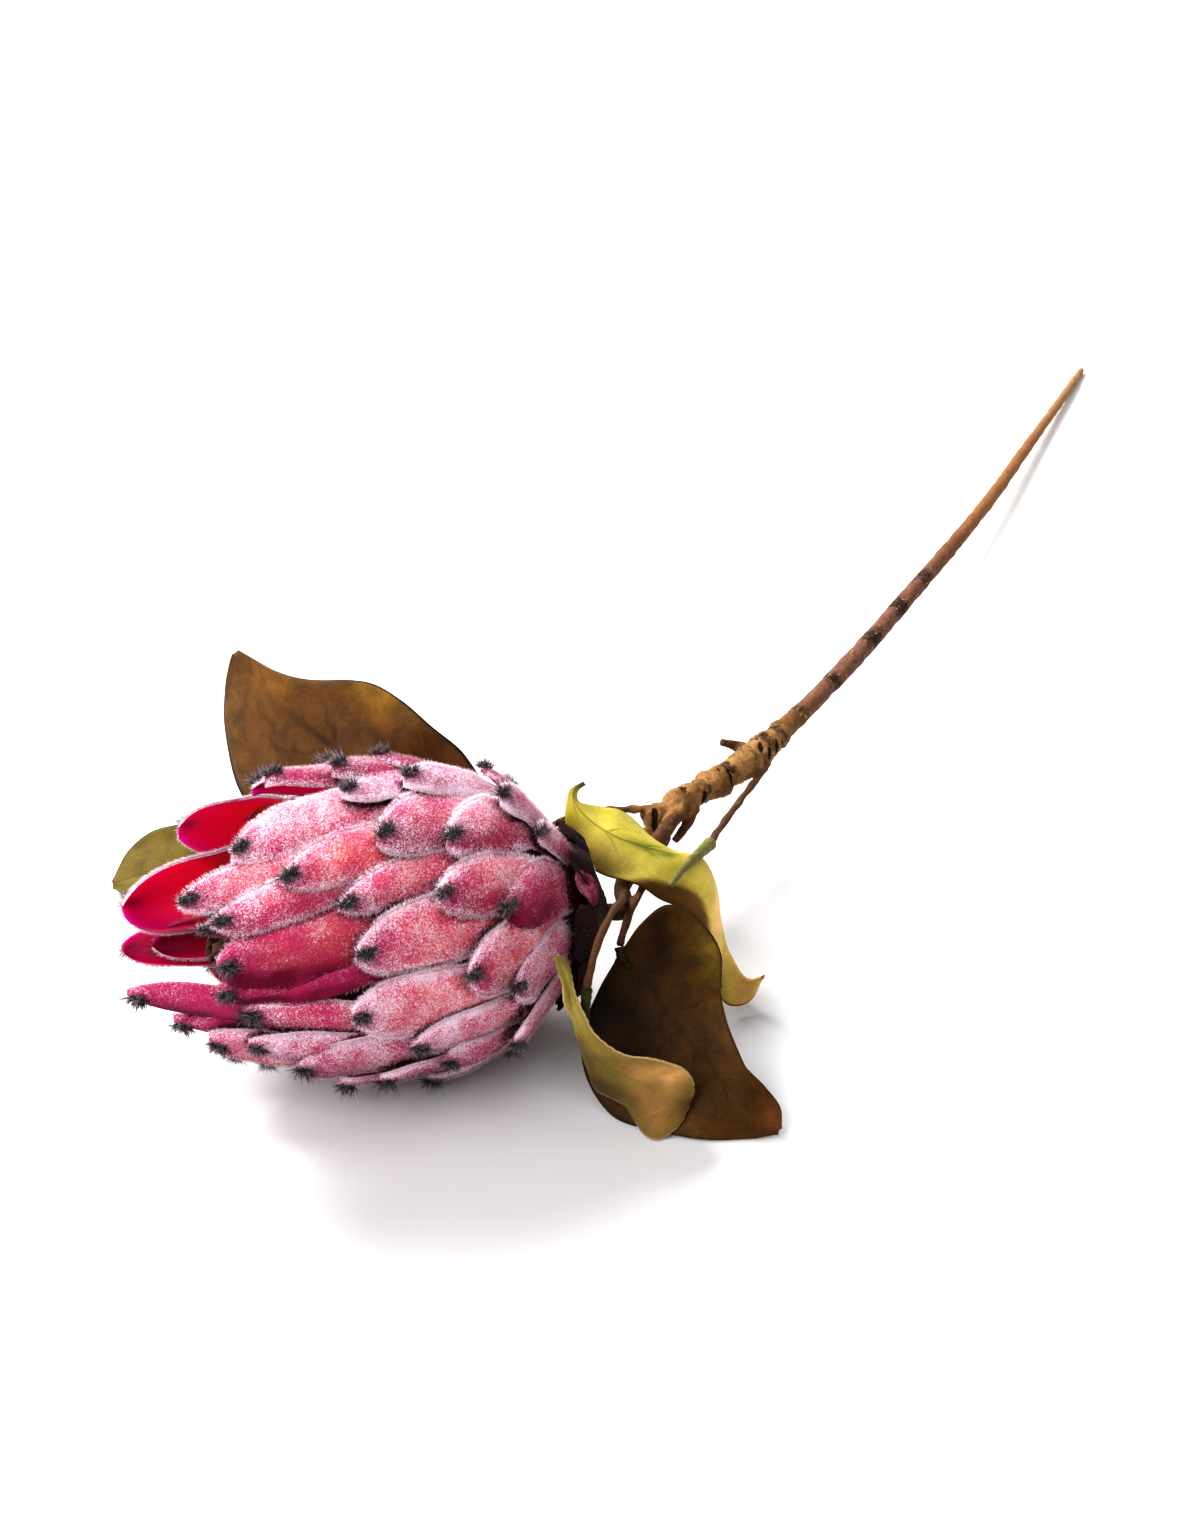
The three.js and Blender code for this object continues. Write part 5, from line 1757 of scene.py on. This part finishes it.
def list_leaves() -> list[Leaf]:
    """The five leaves of the stem.

    Returns:
        The leaves, each with its finish.
    """
    return [
        Leaf(
            "leaf_back",
            rib=((-217.5, 9, 36), (-221.5, 26, 47), (-221, 49, 62), (-220, 74, 74), (-214, 97, 84)),
            near=((-218.8, 11, 34), (-226.5, 30, 27), (-230, 57, 28), (-229, 81, 32), (-227, 92, 41),
                  (-223, 98, 58), (-217, 100, 71), (-214.6, 98, 83.5)),
            far=((-216, 8, 38), (-202, 6, 48), (-198, 17, 60), (-201, 28, 70), (-200, 40, 76),
                 (-202, 51, 80), (-213, 67, 82), (-216, 81, 84), (-213.4, 96, 85)),
            stalk=((-160, -44, 38), (-170, -36, 40), (-182, -22, 41), (-198, -9, 38), (-211.5, 1.5, 35)),
            sleeve=((-212.1, 2, 34.9), (-216.5, 9, 37), (-220, 19, 42)),
            face=linear(98, 68, 34),
            finish=LeafFinish("leaf_back_cloth", vein=linear(46, 30, 16), edge=linear(34, 30, 34),
                              vein_share=0.6, pairs=5.0, slope=1.9, vein_end=0.8, mottle=0.7),
            patches=(Patch(0.6, 0.36, 0.6, 0.14, linear(92, 58, 30), 0.7),
                     Patch(0.7, 0.68, 0.5, 0.05, linear(98, 64, 32), 0.5),
                     Patch(0.9, 0.55, 0.3, 0.07, linear(164, 126, 48), 0.75),
                     Patch(0.3, 0.85, 0.6, 0.1, linear(132, 92, 38), 0.6)),
        ),
        Leaf(
            "leaf_far",
            rib=((-212, 52, 10), (-225, 75, 11), (-236, 97, 10), (-247, 114, 7), (-257, 127, 3)),
            near=((-214, 51, 9), (-240, 66, 7), (-254, 85, 4), (-261, 105, 2), (-257.8, 126, 2)),
            far=((-210, 53, 10), (-202, 74, 11), (-212, 98, 14), (-230, 117, 15), (-236, 126, 12),
                 (-245, 130, 8), (-256, 128.4, 3)),
            stalk=((-160, -45, 33), (-170, -28, 25), (-182, -5, 17), (-196, 22, 12), (-208, 44, 10)),
            sleeve=((-208.17, 44.32, 10), (-213, 54, 10.4), (-219, 65, 11)),
            face=linear(98, 82, 14),
            finish=LeafFinish("leaf_far_cloth", vein=linear(72, 66, 18), edge=linear(48, 44, 24),
                              vein_share=0.25, mottle=0.6),
        ),
        Leaf(
            "leaf_top",
            rib=((-196.5, -28, 64), (-202, -27.2, 64.2), (-205, -29, 62), (-206.5, -36.5, 58),
                 (-207, -44.5, 56), (-204, -53, 53), (-197, -61, 48), (-189, -67, 43.5),
                 (-189, -72, 36), (-192.5, -76, 27), (-195.5, -80, 19), (-197.5, -84, 12.5),
                 (-198.8, -89, 9), (-198.8, -92.5, 9.4), (-197, -95.5, 11.5)),
            near=((-196.6, -27.6, 64.6), (-203, -26.4, 64.2), (-206.5, -27.5, 61), (-209, -28.5, 56),
                  (-209.5, -30, 50), (-211, -34, 45.5), (-212, -43, 43.5), (-212, -57.5, 44),
                  (-209.6, -63.6, 39.4), (-205.7, -71.7, 35.4), (-204, -76, 30), (-202, -80.5, 18),
                  (-204, -83, 8), (-207, -86.5, 4), (-204.5, -90.5, 2.5), (-201, -93.5, 4),
                  (-196.6, -95, 10)),
            far=((-196, -28.2, 63.2), (-201.4, -28.4, 63.4), (-203, -30, 61), (-197.5, -34.5, 57),
                 (-192, -39.5, 54), (-189, -48, 46), (-189.5, -57.5, 33), (-191, -64, 24),
                 (-193, -68.5, 19), (-194.5, -74.5, 14), (-194.5, -80, 9.5), (-195.4, -85, 7),
                 (-197.6, -89.5, 7), (-197.8, -92.6, 8.8), (-197.6, -95.9, 13)),
            stalk=((-100, -50, 28), (-112, -53.5, 29), (-141, -57.5, 33), (-168, -62.5, 39),
                   (-180, -66, 43.4)),
            sleeve=((-180.3, -66.1, 43.5), (-191, -67, 46), (-200, -66.6, 46.6), (-208, -66, 44.6)),
            sleeve_tint=linear(118, 114, 66), sleeve_radius=2.2,
            face=linear(206, 190, 88),
            finish=LeafFinish("leaf_top_cloth", vein=linear(84, 100, 30), edge=linear(96, 78, 34),
                              vein_share=0.5, pairs=7.0, slope=1.2, vein_end=0.6, mottle=0.3),
            patches=(Patch(-0.8, 0.25, 0.5, 0.14, linear(242, 216, 118), 0.9),
                     Patch(-0.7, 0.13, 0.6, 0.05, linear(186, 176, 66), 0.8),
                     Patch(0.05, 0.34, 0.16, 0.06, linear(96, 112, 34), 0.8),
                     Patch(-0.1, 0.42, 0.14, 0.05, linear(84, 102, 32), 0.8),
                     Patch(0.8, 0.28, 0.6, 0.14, linear(166, 154, 54), 0.7),
                     # The tail's own tan colour, brightened as painted light where the tail lies in shade
                     Patch(0.0, 0.72, 1.4, 0.14, linear(252, 212, 134), 0.95),
                     Patch(0.0, 0.94, 2.0, 0.08, linear(232, 176, 116), 0.95),
                     Patch(0.0, 0.0, 2.0, 0.06, linear(124, 110, 62), 0.95),
                     Patch(-1.0, 0.53, 0.26, 0.14, linear(98, 62, 30), 1.0, 6.0)),
        ),
        Leaf(
            "leaf_front",
            rib=((-238.5, -65, 38), (-237.5, -72.5, 33), (-241.5, -85, 25), (-246.5, -101.5, 16),
                 (-250, -117.5, 8), (-249.5, -127, 3)),
            near=((-239.4, -64.6, 37), (-246, -62, 28), (-253.5, -60.5, 15), (-262, -67.5, 6),
                  (-267.6, -79.5, 1.2), (-266.5, -92, 0.8), (-262.5, -107, 0.8), (-255, -120, 0.8),
                  (-249.8, -127, 2)),
            far=((-238, -65.4, 39), (-229.5, -68, 46), (-218, -71.5, 46.5), (-216.5, -82, 43),
                 (-219.5, -90, 37), (-227.5, -94.5, 31), (-237.5, -102, 25), (-243, -111, 18),
                 (-243.5, -119, 12), (-245, -125, 8), (-248.8, -127.6, 3.8)),
            stalk=((-176, -48, 36), (-194.5, -53.5, 38), (-210, -57, 41), (-223, -60, 42),
                   (-232, -62.8, 41.4), (-236.4, -64.2, 40.2)),
            sleeve=((-236.9, -64.4, 39.85), (-238.6, -66.4, 37), (-237.6, -69, 34), (-236, -72.2, 31.4)),
            sleeve_tint=linear(58, 46, 20),
            face=linear(72, 46, 8),
            finish=LeafFinish("leaf_front_cloth", vein=linear(34, 20, 6), edge=linear(60, 40, 22),
                              vein_share=0.25, pairs=5.0, slope=1.7, vein_end=0.9, mottle=0.8),
            # The first blot is painted shadow on the near side, where the head shades the leaf
            patches=(Patch(-0.8, 0.2, 0.6, 0.2, linear(20, 12, 4), 0.9),
                     Patch(0.6, 0.17, 0.5, 0.09, linear(44, 26, 8), 0.85),
                     Patch(0.95, 0.39, 0.3, 0.07, linear(108, 92, 34), 0.7),
                     Patch(0.95, 0.62, 0.3, 0.14, linear(92, 52, 18), 0.6),
                     Patch(-1.0, 0.78, 0.3, 0.12, linear(92, 64, 20), 0.6),
                     Patch(0.4, 0.97, 1.0, 0.07, linear(112, 68, 36), 0.5)),
        ),
        Leaf(
            "leaf_curl",
            rib=((-275, -64.6, 64), (-274, -67, 56), (-271.6, -67.5, 46), (-271, -70.5, 35),
                 (-272, -77.5, 27), (-269.5, -86.5, 22), (-264.5, -94, 16), (-261, -99, 13),
                 (-257.6, -101.8, 12)),
            near=((-275.4, -64.2, 63.4), (-275, -66.5, 54), (-274.4, -67, 47), (-270.6, -66.8, 38),
                  (-267.6, -68, 27), (-267.6, -70, 17), (-268.5, -73.5, 10), (-268, -79.5, 9),
                  (-266.5, -84, 7), (-267.5, -88, 4), (-269.5, -93, 1.2), (-268.5, -96.5, 0.9),
                  (-263.5, -100.5, 4), (-258, -101.6, 10.5)),
            far=((-274.6, -65, 64.6), (-272.6, -67, 61), (-272.8, -68.6, 57), (-272.6, -70, 47),
                 (-273, -73, 42), (-272.6, -75.2, 38), (-272.6, -82, 35), (-271.4, -87.5, 33),
                 (-268, -92.5, 31), (-264, -96.5, 28), (-260.5, -99.8, 25), (-258.4, -101.8, 20),
                 (-257.6, -102.2, 13.5)),
            stalk=((-184, -47, 37), (-196, -48, 36), (-207, -50, 37), (-218, -55, 43), (-230, -61, 52),
                   (-243, -66, 60), (-255, -69, 61.5), (-262, -70, 58), (-265, -70.4, 54),
                   (-266.6, -70, 48)),
            sleeve=((-266.7, -70, 47.65), (-268.4, -70.6, 42), (-270.4, -72, 35)),
            sleeve_tint=linear(60, 64, 32),
            face=linear(122, 104, 50),
            finish=LeafFinish("leaf_curl_cloth", vein=linear(104, 92, 48), edge=linear(190, 166, 120),
                              vein_share=0.12, mottle=0.4),
            patches=(Patch(0.3, 0.82, 1.0, 0.12, linear(200, 152, 96), 0.9),
                     Patch(-0.4, 0.25, 1.2, 0.2, linear(192, 174, 94), 0.85),
                     Patch(1.0, 0.6, 0.4, 0.16, linear(158, 122, 70), 0.8),
                     # Painted shade on the blade's shadow side
                     Patch(-0.7, 0.6, 0.7, 0.2, linear(82, 64, 28), 0.9),
                     Patch(-0.6, 0.98, 1.0, 0.08, linear(104, 74, 40), 0.8)),
            frayed=True,
        ),
    ]


# The studio

@dataclass
class Studio:
    """Pale table, soft light from two windows behind and to the left, and the camera."""

    camera_place: Place = (-0.6656, -0.3131, 0.462)
    camera_way: Place = (0.7094, 0.4096, -0.5736)
    lens: float = 50.0
    sensor: float = 36.0
    sky: float = 0.42
    # Name, place, width in metres and power in watts
    lights: tuple[tuple[str, Place, float, float], ...] = (
        ("window", (0.4, 1.65, 1.75), 1.3, 82.0),
        ("second_window", (-1.9, 0.7, 1.7), 2.0, 48.0),
    )
    aim: Place = (-0.2, 0.0, 0.05)
    floor_size: float = 9.0

    def build(self) -> None:
        """Builds the floor, the lights and the camera."""
        form = bmesh.new()
        bmesh.ops.create_grid(form, x_segments=1, y_segments=1, size=self.floor_size / 2)
        mesh = bpy.data.meshes.new("table_top")
        form.to_mesh(mesh)
        form.free()
        mesh.materials.append(FloorFinish().make())
        floor = bpy.data.objects.new("table_top", mesh)
        bpy.context.scene.collection.objects.link(floor)

        world = bpy.data.worlds.new("studio")
        bpy.context.scene.world = world
        world.use_nodes = True
        sky = world.node_tree.nodes["Background"]
        sky.inputs["Color"].default_value = (1.0, 1.0, 1.0, 1.0)
        sky.inputs["Strength"].default_value = self.sky

        for name, place, size, power in self.lights:
            light = bpy.data.lights.new(name, "AREA")
            light.shape = "SQUARE"
            light.size = size
            light.energy = power
            window = bpy.data.objects.new(name, light)
            window.location = place
            window.rotation_euler = (Vector(place) - Vector(self.aim)).to_track_quat("Z", "Y").to_euler()
            bpy.context.scene.collection.objects.link(window)

        data = bpy.data.cameras.new("portrait")
        data.lens = self.lens
        data.sensor_width = self.sensor
        data.clip_start = 0.01
        camera = bpy.data.objects.new("portrait", data)
        camera.location = self.camera_place
        camera.rotation_euler = Vector(self.camera_way).to_track_quat("-Z", "Y").to_euler()
        bpy.context.scene.collection.objects.link(camera)
        bpy.context.scene.camera = camera
        bpy.context.scene.view_settings.view_transform = "Standard"
        bpy.context.scene.view_settings.look = "High Contrast"


def report(piece: bpy.types.Object) -> None:
    """Writes one line on a finished piece to the log.

    Args:
        piece: The finished piece.
    """
    mesh = piece.data
    mesh.calc_loop_triangles()
    log.info("%s: %d triangles", piece.name, len(mesh.loop_triangles))


def main() -> None:
    """Builds every piece in order and sets the studio round them."""
    logging.basicConfig(level=logging.INFO, format="%(name)s %(message)s")
    head = HeadFrame()
    for piece in FlowerHead(head).build():
        report(piece)
    report(MouthFlorets(head).build())
    report(BaseScales(head).build())
    leaves = list_leaves()
    report(WoodyStem(head, tuple(leaf.stalk for leaf in leaves)).build())
    for leaf in leaves:
        report(leaf.build())
    Studio().build()


if __name__ == "__main__":
    main()
